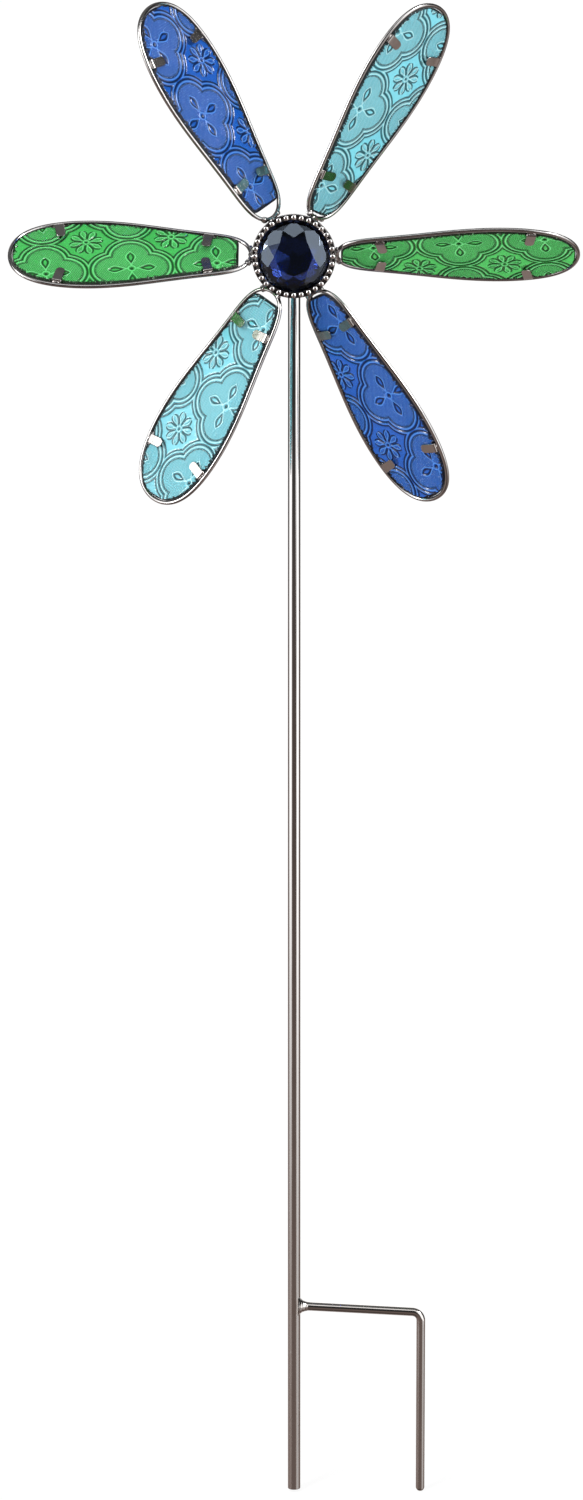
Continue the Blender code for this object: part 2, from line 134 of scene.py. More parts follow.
class GlassSettings(bpy.types.PropertyGroup):
    """Sizes and colours of the pressed glass panes."""

    cell: length("Mesh cell", "Spacing of the mesh on a pane's face", 0.38 * MM)
    side_gap: length("Side gap", "From the middle of the wire to the pane's edge", 1.75 * MM)
    clip_gap: length("Gap at clips", "The same gap where a clip passes the edge", 3.1 * MM)
    corner: length("Corner", "Radius of the pane's blunt corners", 2.6 * MM)
    # This band is nipped lower and coloured dark, the dark partly painted shade.
    nipped: length("Nipped edge", "Width of the dark chipped edge on a pane's face", 2.1 * MM)
    relief: length("Relief", "Height of the tallest pressed line", 0.45 * MM)
    spacing: length("Pattern spacing", "From one four-lobed figure to the next", 59.5 * MM)
    stipple: length("Stipple spacing", "Period of the pebbled ground", 1.6 * MM)
    green: colour("Green", "Body colour of the green panes", (0.055, 0.47, 0.095))
    aqua: colour("Aqua", "Body colour of the aqua panes", (0.20, 0.64, 0.76))
    blue: colour("Blue", "Body colour of the cobalt panes", (0.012, 0.105, 0.47))
    roughness: share("Roughness", "Polish of the pressed face", 0.05)


class WireSettings(bpy.types.PropertyGroup):
    """Sizes and colours of the petal loops and their clips."""

    radius: length("Wire radius", "Half the loop's wire", 1.5 * MM)
    sides: IntProperty(name="Wire sides", description="Faces round the wire", default=20, min=6, max=48)
    points: IntProperty(name="Loop points", description="Points along a loop", default=260, min=60, max=600)
    clip_width: length("Clip width", "Width of a clip's strip", 6.6 * MM)
    clip_thick: length("Clip thickness", "Thickness of a clip's strip", 0.7 * MM)
    nickel: colour("Black nickel", "Plating of the wire and hub", (0.50, 0.485, 0.48))
    tin: colour("Clip metal", "Plating of the clips", (0.50, 0.47, 0.455))


class HubSettings(bpy.types.PropertyGroup):
    """Sizes and colours of the bezel and gem."""

    beads: IntProperty(name="Beads", description="Beads round the bezel's rim", default=32, min=8, max=96)
    bead_circle: length("Bead circle", "Radius of the circle the beads stand on", 27.1 * MM)
    bead_length: length("Bead length", "Size of a bead across the rim", 3.9 * MM)
    bead_width: length("Bead width", "Size of a bead along the rim", 3.5 * MM)
    gem: colour("Gem", "Body colour of the faceted gem", (0.07, 0.13, 0.36))
    foil: colour("Foil", "Mirror foil behind the gem", (0.30, 0.34, 0.50))


class StakeSettings(bpy.types.PropertyGroup):
    """Sizes and colours of the pole and prong."""

    sides: IntProperty(name="Pole sides", description="Faces round the tube", default=96, min=16, max=256)
    metal: colour("Top metal", "Plating at the top of the pole", (0.52, 0.51, 0.505))
    foot_metal: colour("Foot metal", "Plating near the soil, browned by wear", (0.50, 0.47, 0.45))
    wear: share("Wear", "How much the foot is scuffed", 0.5)


class StageSettings(bpy.types.PropertyGroup):
    """The floor, light and camera."""

    floor_radius: length("Floor radius", "Half the width of the floor", 45.0, 1.0, 200.0)
    distance: length("Camera distance", "From the wheel's centre to the camera", 4.0, 0.5, 50.0)
    azimuth: angle("Azimuth", "Camera's place round the wheel", 0.4)
    elevation: angle("Elevation", "Camera's height above the wheel", 6.4)
    dip: angle("Dip", "How far the camera looks down", 11.35)
    turn: angle("Turn", "How far the camera looks to the right", -0.4235)
    lens: strength("Lens", "Focal length in millimetres", 137.3, 10.0)
    sky: strength("Sky", "Strength of the plain surrounding light", 0.5)
    sun: strength("Sun", "Strength of the broad lamp above the left", 1.7)
    bounce: strength("Bounce", "Power of the low lamp on the right, in watts", 26.0)
    strip: strength("Strip", "Strength of the narrow lamp on the left", 14.0)
    boxes: strength("Soft boxes", "Strength of the soft boxes seen in metal", 2.2)
    spark: strength("Spark", "Strength of the small lamp that glints on the glass", 20.0)


SETTINGS = {
    "spinner_glass": GlassSettings,
    "spinner_wire": WireSettings,
    "spinner_hub": HubSettings,
    "spinner_stake": StakeSettings,
    "spinner_stage": StageSettings,
}


# ---------------------------------------------------------------- node trees


class Signal:
    """One socket of a node tree. Sums and products of it add Math nodes."""

    def __init__(self, tree, socket):
        self.tree = tree
        self.socket = socket

    def maths(self, operation, *values):
        return self.tree.node("ShaderNodeMath", {"operation": operation}, dict(enumerate(values)))

    def __add__(self, other):
        return self.maths("ADD", self, other)

    def __sub__(self, other):
        return self.maths("SUBTRACT", self, other)

    def __rsub__(self, other):
        return self.maths("SUBTRACT", other, self)

    def __mul__(self, other):
        return self.maths("MULTIPLY", self, other)

    def __neg__(self):
        return 0.0 - self

    __radd__ = __add__
    __rmul__ = __mul__

    def step(self, low, high):
        """0 below low and 1 above high, with a smooth rise between."""
        return self.tree.node("ShaderNodeMapRange", {"interpolation_type": "SMOOTHSTEP"},
                              {"Value": self, "From Min": low, "From Max": high})


class Tree:
    """A node tree of any kind, written one node at a time."""

    def __init__(self, tree):
        self.tree = tree
        tree.nodes.clear()

    def node(self, kind, settings=None, inputs=None, output=0):
        """Adds a node: its settings first, then the values or links of its sockets."""
        made = self.tree.nodes.new(kind)
        for name, value in (settings or {}).items():
            setattr(made, name, value)
        for name, value in (inputs or {}).items():
            if isinstance(value, Signal):
                self.tree.links.new(value.socket, made.inputs[name])
            else:
                made.inputs[name].default_value = value
        return Signal(self, made.outputs[output]) if made.outputs else None

    def mix(self, factor, first, second):
        """A colour between two colours."""
        colours = [value if isinstance(value, Signal) else (*value, 1.0) for value in (first, second)]
        return self.node("ShaderNodeMix", {"data_type": "RGBA"}, {0: factor, 6: colours[0], 7: colours[1]}, 2)

    def noise(self, place, scale, detail=3.0, roughness=0.5):
        return self.node("ShaderNodeTexNoise", {}, {"Vector": place, "Scale": scale, "Detail": detail,
                                                    "Roughness": roughness})

    def parts(self, vector):
        """The three numbers of a vector."""
        made = self.node("ShaderNodeSeparateXYZ", {}, {0: vector}).socket.node
        return [Signal(self, output) for output in made.outputs]

    def grey(self, shade):
        """A colour whose three channels are one signal."""
        return self.node("ShaderNodeCombineXYZ", {}, {0: shade, 1: shade, 2: shade})

    def object_place(self):
        return self.node("ShaderNodeTexCoord", output="Object")

    def stretched(self, place, scale):
        return self.node("ShaderNodeMapping", {"vector_type": "TEXTURE"}, {"Vector": place, "Scale": scale})


def principled(name, build):
    """A material whose Principled sockets come from build(tree), made once for each name."""
    found = bpy.data.materials.get(name)
    if found and found.get("finished"):
        return found
    made = bpy.data.materials.new(name)
    made["finished"] = True
    made.use_nodes = True
    tree = Tree(made.node_tree)
    shader = tree.node("ShaderNodeBsdfPrincipled", {}, build(tree))
    tree.node("ShaderNodeOutputMaterial", {}, {"Surface": shader})
    return made


def plated_metal(name, bright, dull, roughness, grain=900.0):
    """Bright plating with faint clouding, pits and polishing marks."""

    def build(tree):
        place = tree.object_place()
        cloud = tree.noise(place, 60.0, 4.0)
        pits = tree.noise(place, grain, 2.0)
        worn = cloud.step(0.42, 0.68)
        bump = tree.node("ShaderNodeBump", {}, {"Strength": 0.06, "Distance": 0.0002, "Height": pits})
        return {
            "Base Color": tree.mix(worn * 0.55, bright, dull),
            "Metallic": 1.0,
            "Roughness": roughness + worn * 0.05 + pits * 0.03,
            "Normal": bump,
        }

    return principled(name, build)


def stake_metal(settings):
    """The pole's plating: neutral at the top, browner and scuffed towards the soil."""

    def build(tree):
        place = tree.object_place()
        height = tree.parts(place)[2]
        foot = 1.0 - height.step(-0.10, 0.62)
        drawn = tree.noise(tree.stretched(place, (1.0, 1.0, 30.0)), 900.0, 3.0)
        blotch = tree.noise(tree.stretched(place, (1.0, 1.0, 2.5)), 45.0, 4.0)
        scuffs = tree.noise(tree.stretched(place, (0.6, 0.6, 1.6)), 420.0, 5.0, 0.65)
        scuffed = scuffs.step(0.60, 0.72) * (1.0 - height.step(-0.09, 0.12)) * settings.wear
        plating = tree.mix(foot * 0.8 + blotch * 0.12, tuple(settings.metal), tuple(settings.foot_metal))
        bump = tree.node("ShaderNodeBump", {}, {"Strength": 0.08, "Distance": 0.0002,
                                                "Height": drawn + scuffed})
        return {
            "Base Color": tree.mix(scuffed, plating, (0.20, 0.17, 0.155)),
            "Metallic": 1.0,
            "Roughness": 0.05 + foot * 0.05 + drawn * 0.03 + scuffed * 0.25,
            "Normal": bump,
        }

    return principled("pole_metal_finish", build)


def coloured_glass(name, tint, settings):
    """Pressed sheet glass with random streaks, in a clear gloss: painted shade darkens the slopes and valleys
    of its lines and the pebble hollows, and a painted highlight lightens the crests of its lines and the
    pebble tops.
    """
    paler = tuple(0.88 * channel + 0.12 * min(1.0, 1.9 * channel + 0.10) for channel in tint)
    # Painted highlight colour, for the crests of the lines and the tops of the pebbles.
    painted_highlight_tint = tuple(0.15 * channel + 0.85 * min(1.0, 2.8 * channel + 0.12) for channel in tint)
    # Painted shade colour, for the slopes and valleys of the lines and the pebble hollows.
    painted_shade_tint = tuple(0.06 * channel for channel in tint)
    wave = 2 * math.pi / stipple_period(settings)

    def build(tree):
        sheet = tree.node("ShaderNodeUVMap", {"uv_map": "sheet"})
        x, y = tree.parts(sheet)[:2]
        pebble = x.maths("COSINE", x * wave) * y.maths("COSINE", y * wave)
        steep, ground, lines = [tree.node("ShaderNodeAttribute", {"attribute_name": attribute}, output="Fac")
                                for attribute in ("steep", "ground", "lines")]
        streak = tree.noise(tree.stretched(sheet, (2.2, 1.0, 1.0)), 34.0, 3.0)
        ripple = tree.noise(sheet, 420.0, 2.0)
        body = tree.mix(streak.step(0.36, 0.66), tint, paler)
        # Painted shade: the valleys beside the lines, the steep slopes of the lines and the hollows of the
        # pebbled ground are darkened.
        painted_valley_shade = (-lines).step(0.02, 0.45) * 0.88
        shade = steep.step(0.10, 0.55) * 0.36 + painted_valley_shade + ground * (-pebble).step(0.0, 0.8) * 0.16
        body = tree.mix(shade.step(0.0, 1.0), body, painted_shade_tint)
        # Painted highlight on the crests of the lines and the tops of the pebbles.
        bright = lines.step(0.25, 0.8) * 0.9 + ground * pebble.step(0.1, 0.7) * 0.95
        bump = tree.node("ShaderNodeBump", {}, {"Strength": 0.75, "Distance": 0.0005,
                                                "Height": ripple * 0.35 + ground * pebble * 0.45})
        return {
            "Base Color": tree.mix(bright, body, painted_highlight_tint),
            "Roughness": settings.roughness + streak * 0.04,
            "IOR": 1.5,
            "Transmission Weight": 0.6,
            "Normal": bump,
        }

    return principled(name, build)


def nipped_edge_and_shade(name, tint):
    """The ground edge of a pane, with pale chips; its near-black colour is partly the edge's own and partly
    painted shade.
    """

    def build(tree):
        place = tree.object_place()
        chips = tree.noise(place, 520.0, 3.0, 0.6)
        # Near black: partly the ground edge's own colour, partly painted shade.
        dark = tuple(0.03 * channel + 0.003 for channel in tint)
        pale = tuple(0.5 * channel + 0.25 for channel in tint)
        bump = tree.node("ShaderNodeBump", {}, {"Strength": 0.5, "Distance": 0.0005, "Height": chips})
        return {
            "Base Color": tree.mix(chips.step(0.62, 0.70), dark, pale),
            "Roughness": 0.3 + chips * 0.3,
            "Specular IOR Level": 0.3,
            "Normal": bump,
        }

    return principled(name, build)


def gem_glass(tint):
    """Deep navy crystal with a trace of flow lines."""

    def build(tree):
        place = tree.object_place()
        flow = tree.noise(place, 70.0, 2.0)
        bump = tree.node("ShaderNodeBump", {}, {"Strength": 0.02, "Distance": 0.0003, "Height": flow})
        return {
            "Base Color": tree.mix(flow.step(0.35, 0.7) * 0.4, tint, tuple(1.3 * part for part in tint)),
            "Roughness": 0.01 + flow * 0.02,
            "IOR": 2.0,
            "Specular Tint": (0.66, 0.80, 1.0, 1.0),
            "Transmission Weight": 1.0,
            "Normal": bump,
        }

    return principled("gem_finish", build)


def moulded_nylon():
    """The pale plastic of the ball cage."""

    def build(tree):
        place = tree.object_place()
        cloud = tree.noise(place, 300.0, 3.0)
        return {
            "Base Color": tree.mix(cloud, (0.72, 0.70, 0.63), (0.80, 0.78, 0.72)),
            "Roughness": 0.42 + cloud * 0.12,
            "Subsurface Weight": 0.1,
            "Subsurface Scale": 0.001,
        }

    return principled("nylon_finish", build)


# ---------------------------------------------------------------- mesh helpers


def mesh_of(name, points, faces, smooth=True, sharp=None):
    """A mesh from its points and faces, shaded smooth with sharp edges past an angle."""
    mesh = bpy.data.meshes.new(name)
    mesh.from_pydata([tuple(point) for point in points], [], faces)
    mesh.validate()
    if smooth:
        mesh.shade_smooth()
        if sharp:
            mesh.set_sharp_from_angle(angle=math.radians(sharp))
    return mesh


def outward(mesh):
    """Turns the faces of a closed mesh outwards."""
    shape = bmesh.new()
    shape.from_mesh(mesh)
    bmesh.ops.recalc_face_normals(shape, faces=shape.faces)
    shape.to_mesh(mesh)
    shape.free()
    return mesh


def mesh_from(name, shape):
    """The finished mesh of a bmesh, which is freed."""
    mesh = bpy.data.meshes.new(name)
    shape.to_mesh(mesh)
    shape.free()
    return mesh


def linked(name, data):
    """A new object of the scene, at the origin."""
    holder = bpy.data.objects.new(name, data)
    bpy.context.scene.collection.objects.link(holder)
    return holder


def placed(mesh, matrix):
    mesh.transform(matrix)
    return mesh


def joined(name, meshes):
    """Several meshes as one."""
    shape = bmesh.new()
    for mesh in meshes:
        shape.from_mesh(mesh)
        bpy.data.meshes.remove(mesh)
    return mesh_from(name, shape)


def rings_faces(rings, sides, closed=False, capped=False):
    """Quads between rings of points, with end caps if asked."""
    faces = []
    for ring in range(rings if closed else rings - 1):
        after = (ring + 1) % rings
        for side in range(sides):
            beside = (side + 1) % sides
            here, there = ring * sides, after * sides
            faces.append((here + side, here + beside, there + beside, there + side))
    if capped:
        faces.append(tuple(range(sides))[::-1])
        faces.append(tuple(range((rings - 1) * sides, rings * sides)))
    return faces


def swept(name, route, radii, up, sides, closed=False):
    """A round bar along a flat route. up is square to the route's plane."""
    points = []
    count = len(route)
    for number, place in enumerate(route):
        before = route[number - 1] if number or closed else route[number]
        after = route[(number + 1) % count] if number < count - 1 or closed else route[number]
        run = (after - before).normalized()
        side = up.cross(run)
        for step in range(sides):
            angle = 2 * math.pi * step / sides
            points.append(place + (side * math.cos(angle) + up * math.sin(angle)) * radii[number])
    mesh = mesh_of(name, points, rings_faces(count, sides, closed, not closed), sharp=50)
    return outward(mesh)


def turned(name, profile, centre, axis, sides, sharp=35):
    """Turns a closed outline of (radius, along) points about an axis through centre."""
    turn = Vector((0, 0, 1)).rotation_difference(Vector(axis)).to_matrix()
    rings = len(profile)
    points = []
    for radius, along in profile:
        for step in range(sides):
            angle = 2 * math.pi * step / sides
            points.append(centre + turn @ Vector((radius * math.cos(angle), radius * math.sin(angle), along)))
    mesh = mesh_of(name, points, rings_faces(rings, sides, closed=True))
    shape = bmesh.new()
    shape.from_mesh(mesh)
    bmesh.ops.remove_doubles(shape, verts=shape.verts, dist=1e-7)
    bmesh.ops.recalc_face_normals(shape, faces=shape.faces)
    shape.to_mesh(mesh)
    shape.free()
    mesh.shade_smooth()
    mesh.set_sharp_from_angle(angle=math.radians(sharp))
    return mesh


def arc(centre_r, centre_a, radius, start, end, steps):
    """Points of a round corner in an outline, its angles in degrees."""
    angles = [math.radians(start + (end - start) * step / steps) for step in range(steps + 1)]
    return [(centre_r + radius * math.cos(a), centre_a + radius * math.sin(a)) for a in angles]


def nugget(name, place, size, seed, turn=None):
    """A lump of weld metal: a ball pushed in and out by noise."""
    shape = bmesh.new()
    bmesh.ops.create_icosphere(shape, subdivisions=4, radius=1.0)
    for vert in shape.verts:
        swell = 1.0 + 0.22 * noise.noise(vert.co * 1.7 + Vector((seed, 3.1, 0.0)))
        vert.co = Vector(part * length for part, length in zip(vert.co * swell, size))
    mesh = mesh_from(name, shape)
    mesh.shade_smooth()
    return placed(mesh, Matrix.Translation(place) @ (turn or Matrix.Identity(4)))


def add_piece(name, mesh, materials, body, replaced=()):
    """Sets a finished mesh on its body, in place of the frame's own nodes."""
    piece = linked(name, mesh)
    if not mesh.materials:
        for material in materials:
            mesh.materials.append(material)
    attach(piece, body)
    if replaced:
        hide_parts(*replaced)
    return piece


def shaped_by_nodes(name, mesh, group, values):
    """The plain mesh that a geometry node group makes from another mesh."""
    holder = linked(name, mesh)
    modifier = holder.modifiers.new(name, "NODES")
    modifier.node_group = group
    for item in group.interface.items_tree:
        if item.item_type == "SOCKET" and item.in_out == "INPUT" and item.name in values:
            modifier[item.identifier] = values[item.name]
    graph = bpy.context.evaluated_depsgraph_get()
    made = bpy.data.meshes.new_from_object(holder.evaluated_get(graph))
    made.name = name
    bpy.data.objects.remove(holder)
    return made


def node_group(name, inputs):
    """An empty geometry node group with named inputs, given as (name, socket type, default)."""
    group = bpy.data.node_groups.new(name, "GeometryNodeTree")
    tree = Tree(group)
    group.interface.new_socket("Geometry", in_out="INPUT", socket_type="NodeSocketGeometry")
    for label, kind, default in inputs:
        socket = group.interface.new_socket(label, in_out="INPUT", socket_type=kind)
        if default is not None:
            socket.default_value = default
    group.interface.new_socket("Geometry", in_out="OUTPUT", socket_type="NodeSocketGeometry")
    start = tree.node("NodeGroupInput").socket.node
    sockets = {output.name: Signal(tree, output) for output in start.outputs if output.name}
    return group, tree, sockets


# ---------------------------------------------------------------- petals


def petal_matrix(number):
    """The petal's frame (U, V, N) at its angle on the wheel and its pitch, set at the wheel's centre."""
    angle = 2 * math.pi * number / PETALS
    pitch = math.radians(PETAL_PITCH[number])
    out = Vector((math.cos(angle), 0, math.sin(angle)))
    onwards = Vector((-math.sin(angle), 0, math.cos(angle)))
    across = onwards * math.cos(pitch) + Vector((0, -1, 0)) * math.sin(pitch)
    face = out.cross(across)
    return Matrix.Translation(WHEEL) @ Matrix((out, across, face)).transposed().to_4x4()


def loop_point(angle):
    """Point of the wire's teardrop at an angle: 0 at the hub end, pi at the tip."""
    along = LOOP_START + LOOP_LENGTH * (1 - math.cos(angle)) / 2
    width = sum(part * math.cos(order * angle) for order, part in enumerate(LOOP_SHAPE))
    return Vector((along, math.sin(angle) * width, 0))


def angle_at(place_u):
    """The angle at which the teardrop is place_u from the wheel's centre."""
    return math.acos(1 - 2 * (place_u - LOOP_START) / LOOP_LENGTH)


def clip_matrix(place_u, side):
    """A clip's frame on the loop: X inwards from the wire, Y along it and Z out of the petal's face."""
    angle = angle_at(place_u)
    step = 1e-3
    run = loop_point(angle + step) - loop_point(angle - step)
    at = loop_point(angle)
    at.y *= side
    run.y *= side
    inward = Vector((run.y, -run.x, 0)).normalized() * side
    up = Vector((0, 0, 1))
    return Matrix.Translation(at) @ Matrix((inward, up.cross(inward), up)).transposed().to_4x4()


def smooth(low, high, value):
    """Smooth rise from 0 at low to 1 at high, for arrays."""
    rise = np.clip((value - low) / (high - low), 0.0, 1.0)
    return rise * rise * (3 - 2 * rise)


def ridge(distance, width):
    return np.exp(-((distance / width) ** 2))


# The pressed sheet, in millimetres: where each pane was cut, and the sizes of its figures
SHEET_SHIFTS = ((0, 0), (3, -2), (-1, 6), (2, 1), (0, 0), (-3, 3))
SHEET_LEAN = math.radians(5.5)
LOBE_OUT, LOBE_RADIUS = 12.6, 14.4
LEAF_START, LEAF_LENGTH, LEAF_HALF = 3.2, 14.0, 3.3
LEAF_END = 17.4
DAISY_START, DAISY_LENGTH, DAISY_HALF = 3.0, 8.8, 1.5
DAISY_PETALS = 8


def sheet_place(u, v, number):
    """Places on the pressed sheet that a pane was cut from, square to its pattern."""
    shift_u, shift_v = SHEET_SHIFTS[number]
    cosine, sine = math.cos(SHEET_LEAN), math.sin(SHEET_LEAN)
    along, across = u - 114.5 * MM + shift_u * MM, v - 17.0 * MM + shift_v * MM
    return (along * cosine + across * sine, -along * sine + across * cosine)


def stipple_period(settings):
    """The pebbles' period, made to divide the pattern's spacing."""
    return settings.spacing / round(settings.spacing / settings.stipple)


def pressed_pattern(x, y, settings):
    """Height of the pressed lines at places on the sheet, as a share of the tallest, and the pebbled ground.

    Four-lobed figures stand on a square lattice, a daisy fills each space between four of them, and
    the ground inside a figure is pebbled.
    """
    spacing = settings.spacing / MM
    x, y = x / MM, y / MM
    wave = 0.05 * np.sin(x * 0.9 + 1.3 * np.sin(y * 0.31)) * np.cos(y * 0.8)
    x = x - spacing * np.round(x / spacing)
    y = y - spacing * np.round(y / spacing)
    longer, shorter = np.maximum(abs(x), abs(y)), np.minimum(abs(x), abs(y))
    lobe = np.hypot(longer - LOBE_OUT, shorter) - LOBE_RADIUS
    centre = np.hypot(x, y)
    height = ridge(lobe, 0.85) + 0.8 * ridge(lobe - 3.2, 0.7) - 0.75 * ridge(lobe - 1.65, 0.7)
    height -= 0.65 * ridge(lobe + 1.6, 0.7) + 0.6 * ridge(lobe - 4.6, 0.7)

    along = np.clip((longer - LEAF_START) / LEAF_LENGTH, 0.0, 1.0)
    leaf = shorter - LEAF_HALF * np.sin(math.pi * along**1.4)
    on_leaf = (longer > LEAF_START) & (longer < LEAF_END)
    height += np.where(on_leaf, 0.95 * ridge(leaf, 0.65) - 0.7 * ridge(leaf + 1.4, 0.7), 0.0)
    height += 0.9 * ridge(centre - 2.5, 0.7) - 0.7 * ridge(centre, 1.2)
    inside = smooth(0.9, 1.9, -lobe) * smooth(0.4, 1.0, np.where(on_leaf, leaf, 9.0))
    ground = inside * smooth(3.2, 4.2, centre)

    from_x = x - spacing * (np.floor(x / spacing) + 0.5)
    from_y = y - spacing * (np.floor(y / spacing) + 0.5)
    far = np.hypot(from_x, from_y)
    wedge = 2 * math.pi / DAISY_PETALS
    turn = np.mod(np.arctan2(from_y, from_x) + 0.2, wedge) - wedge / 2
    reach, off = far * np.cos(turn), abs(far * np.sin(turn))
    outwards = np.clip((reach - DAISY_START) / DAISY_LENGTH, 0.0, 1.0)
    petal = off - DAISY_HALF * np.sin(math.pi * outwards**1.5)
    on_petal = (outwards > 0) & (outwards < 1)
    height += np.where(on_petal, ridge(petal, 0.55) - 0.7 * ridge(petal - 1.2, 0.5), 0.0)
    height += 0.9 * ridge(far - 1.9, 0.6) - 0.7 * ridge(far, 0.9)
    return height + wave, ground


def pane_outline(start, settings):
    """Rows of the pane as (along, half width): the loop's outline drawn in, and cut off at the hub end."""
    outline = []
    for step in range(1, 1601):
        angle = math.pi * step / 1600
        run = loop_point(angle + 1e-4) - loop_point(angle - 1e-4)
        at = loop_point(angle)
        from_clip = min(abs(at.x - place) for place in CLIP_PLACES.values())
        near = 1.0 - max(0.0, from_clip - 3.9 * MM) / (2.0 * MM)
        gap = settings.side_gap + (settings.clip_gap - settings.side_gap) * max(0.0, near)
        spot = at + Vector((run.y, -run.x, 0)).normalized() * gap
        outline.append((spot.x, max(spot.y, 0.0)))
    end = outline[-1][0]
    rows = []
    for along, half in outline:
        if along < start or along > end - 0.02 * MM:
            continue
        if rows and math.hypot(along - rows[-1][0], (half - rows[-1][1]) / 3) < settings.cell:
            continue
        rows.append((along, half))
    blunt = []
    for along, half in rows:
        short = max(0.0, settings.corner - (along - start))
        blunt.append((along, half - settings.corner + math.sqrt(settings.corner**2 - short**2)))
    return blunt, end


def pane_mesh(number, settings):
    """One pressed pane: a fine face with the pattern, nipped edges and a flat back."""
    start = PANE_STARTS[number]
    outline, end = pane_outline(start, settings)
    along = np.array([row[0] for row in outline])
    half = np.array([row[1] for row in outline])
    nips = np.array([[noise.noise(Vector((place * 620, side * 9.0, number * 5.3))) for side in (-1, 1)]
                     for place in along])
    edge = half[:, None] - 0.35 * MM * np.abs(nips) * smooth(0.0, 6 * MM, half)[:, None]
    columns = int(2 * half.max() / settings.cell) + 1
    across = np.linspace(-1.0, 1.0, columns)
    left_side = across[None, :] < 0
    v = np.where(left_side, edge[:, :1], edge[:, 1:]) * across[None, :]
    u = np.repeat(along[:, None], columns, axis=1)
    sheet_x, sheet_y = sheet_place(u, v, number)
    lines, ground = pressed_pattern(sheet_x, sheet_y, settings)
    wave = 2 * math.pi / stipple_period(settings)
    pebbles = np.cos(sheet_x * wave) * np.cos(sheet_y * wave)
    height = settings.relief * (lines + ground * (0.1 + 0.3 * pebbles))
    rim = np.minimum(np.minimum(half[:, None] - abs(v), u - start), end - u)
    rough = np.where(left_side, abs(nips[:, :1]), abs(nips[:, 1:]))
    width = settings.nipped * (0.55 + 1.6 * rough)
    height *= smooth(0.6, 1.3, rim / width)
    height -= 0.75 * MM * (1.0 - smooth(0.0, 1.0, rim / width)) ** 1.5
    steep = np.hypot(np.gradient(settings.relief * lines, axis=0) / np.gradient(u, axis=0),
                     np.gradient(settings.relief * lines, axis=1) / np.gradient(v, axis=1))

    face = np.stack([u, v, PANE_HALF_THICK + height], axis=2).reshape(-1, 3)
    rows = len(along)
    tip = rows * columns
    points = [*map(tuple, face), (end, 0.0, PANE_HALF_THICK - 0.7 * MM)]
    index = np.arange(rows * columns).reshape(rows, columns)
    quads = np.stack([index[:-1, :-1], index[1:, :-1], index[1:, 1:], index[:-1, 1:]], axis=2).reshape(-1, 4)
    faces = quads.tolist() + [(tip, int(index[-1, c + 1]), int(index[-1, c])) for c in range(columns - 1)]
    # Band along the face's rim that takes the dark edge material: nipped glass, its dark partly painted
    # shade.
    chipped = (rim / width < 1.0)[:-1, :-1].ravel()
    border = [*map(int, index[0, ::-1]), *map(int, index[1:, 0]), tip, *map(int, index[:0:-1, -1])]
    walls = len(faces)
    above = border
    for level in (0.2, -0.4, -1.0):
        first = len(points)
        for corner in border:
            place = Vector(points[corner])
            nip = noise.noise(Vector((place.x * 500, place.y * 500, level * 4 + number)))
            pull = 1.0 - (0.08 * MM + 0.22 * MM * abs(nip)) / max(6 * MM, abs(place.y))
            points.append((place.x, place.y * pull, PANE_HALF_THICK * level))
        below = list(range(first, len(points)))
        for corner in range(len(border)):
            beside = (corner + 1) % len(border)
            faces.append((above[corner], above[beside], below[beside], below[corner]))
        above = below
    walls_end = len(faces)
    faces.append(tuple(above))
    mesh = mesh_of(f"petal_{number + 1}_pane", points, faces, sharp=55)
    # The rim band and the side walls take the dark edge material, partly painted shade.
    shades = np.zeros(len(mesh.polygons), np.int32)
    shades[: len(chipped)] = chipped
    shades[len(chipped):walls_end] = 1
    mesh.polygons.foreach_set("material_index", shades)
    for name, values in (("steep", steep), ("ground", ground), ("lines", lines)):
        whole = np.zeros(len(points), np.float32)
        whole[:tip] = values.ravel()
        mesh.attributes.new(name, "FLOAT", "POINT").data.foreach_set("value", whole)
    outward(mesh)
    corners = np.zeros(len(mesh.loops), np.int32)
    mesh.loops.foreach_get("vertex_index", corners)
    flat = np.array(points)
    places = np.stack(sheet_place(flat[:, 0], flat[:, 1], number), axis=1)
    mesh.uv_layers.new(name="sheet").data.foreach_set("uv", places[corners].astype(np.float32).ravel())
    return placed(mesh, petal_matrix(number))


class SPINNER_OT_panes(bpy.types.Operator):
    """Press the six panes of coloured glass"""

    bl_idname = "spinner.panes"
    bl_label = "Glass panes"

    def execute(self, context):
        settings = context.scene.spinner_glass
        tints = (tuple(settings.green), tuple(settings.aqua), tuple(settings.blue))
        for number in range(PETALS):
            slot = GLASS_NAMES[number % 3]
            tint = tints[number % 3]
            finish = coloured_glass(f"{slot}_finish", tint, settings)
            edge = nipped_edge_and_shade(f"{slot}_edge", tint)
            add_piece(f"petal_{number + 1}_pane", pane_mesh(number, settings), [finish, edge], "wheel",
                      [f"petal_{number + 1}_glass"])
        return {"FINISHED"}


def wire_group():
    """Geometry nodes that draw a round wire along the edges of a mesh."""
    group, tree, given = node_group("round_wire", [
        ("Radius", "NodeSocketFloat", 1.5 * MM),
        ("Sides", "NodeSocketInt", 16),
        ("Material", "NodeSocketMaterial", None),
    ])
    line = tree.node("GeometryNodeMeshToCurve", {}, {"Mesh": given["Geometry"]})
    ring = tree.node("GeometryNodeCurvePrimitiveCircle", {}, {"Resolution": given["Sides"],
                                                              "Radius": given["Radius"]})
    bar = tree.node("GeometryNodeCurveToMesh", {}, {"Curve": line, "Profile Curve": ring})
    real = tree.node("GeometryNodeRealizeInstances", {}, {"Geometry": bar})
    done = tree.node("GeometryNodeSetMaterial", {}, {"Geometry": real, "Material": given["Material"]})
    tree.node("NodeGroupOutput", {}, {"Geometry": done})
    return group


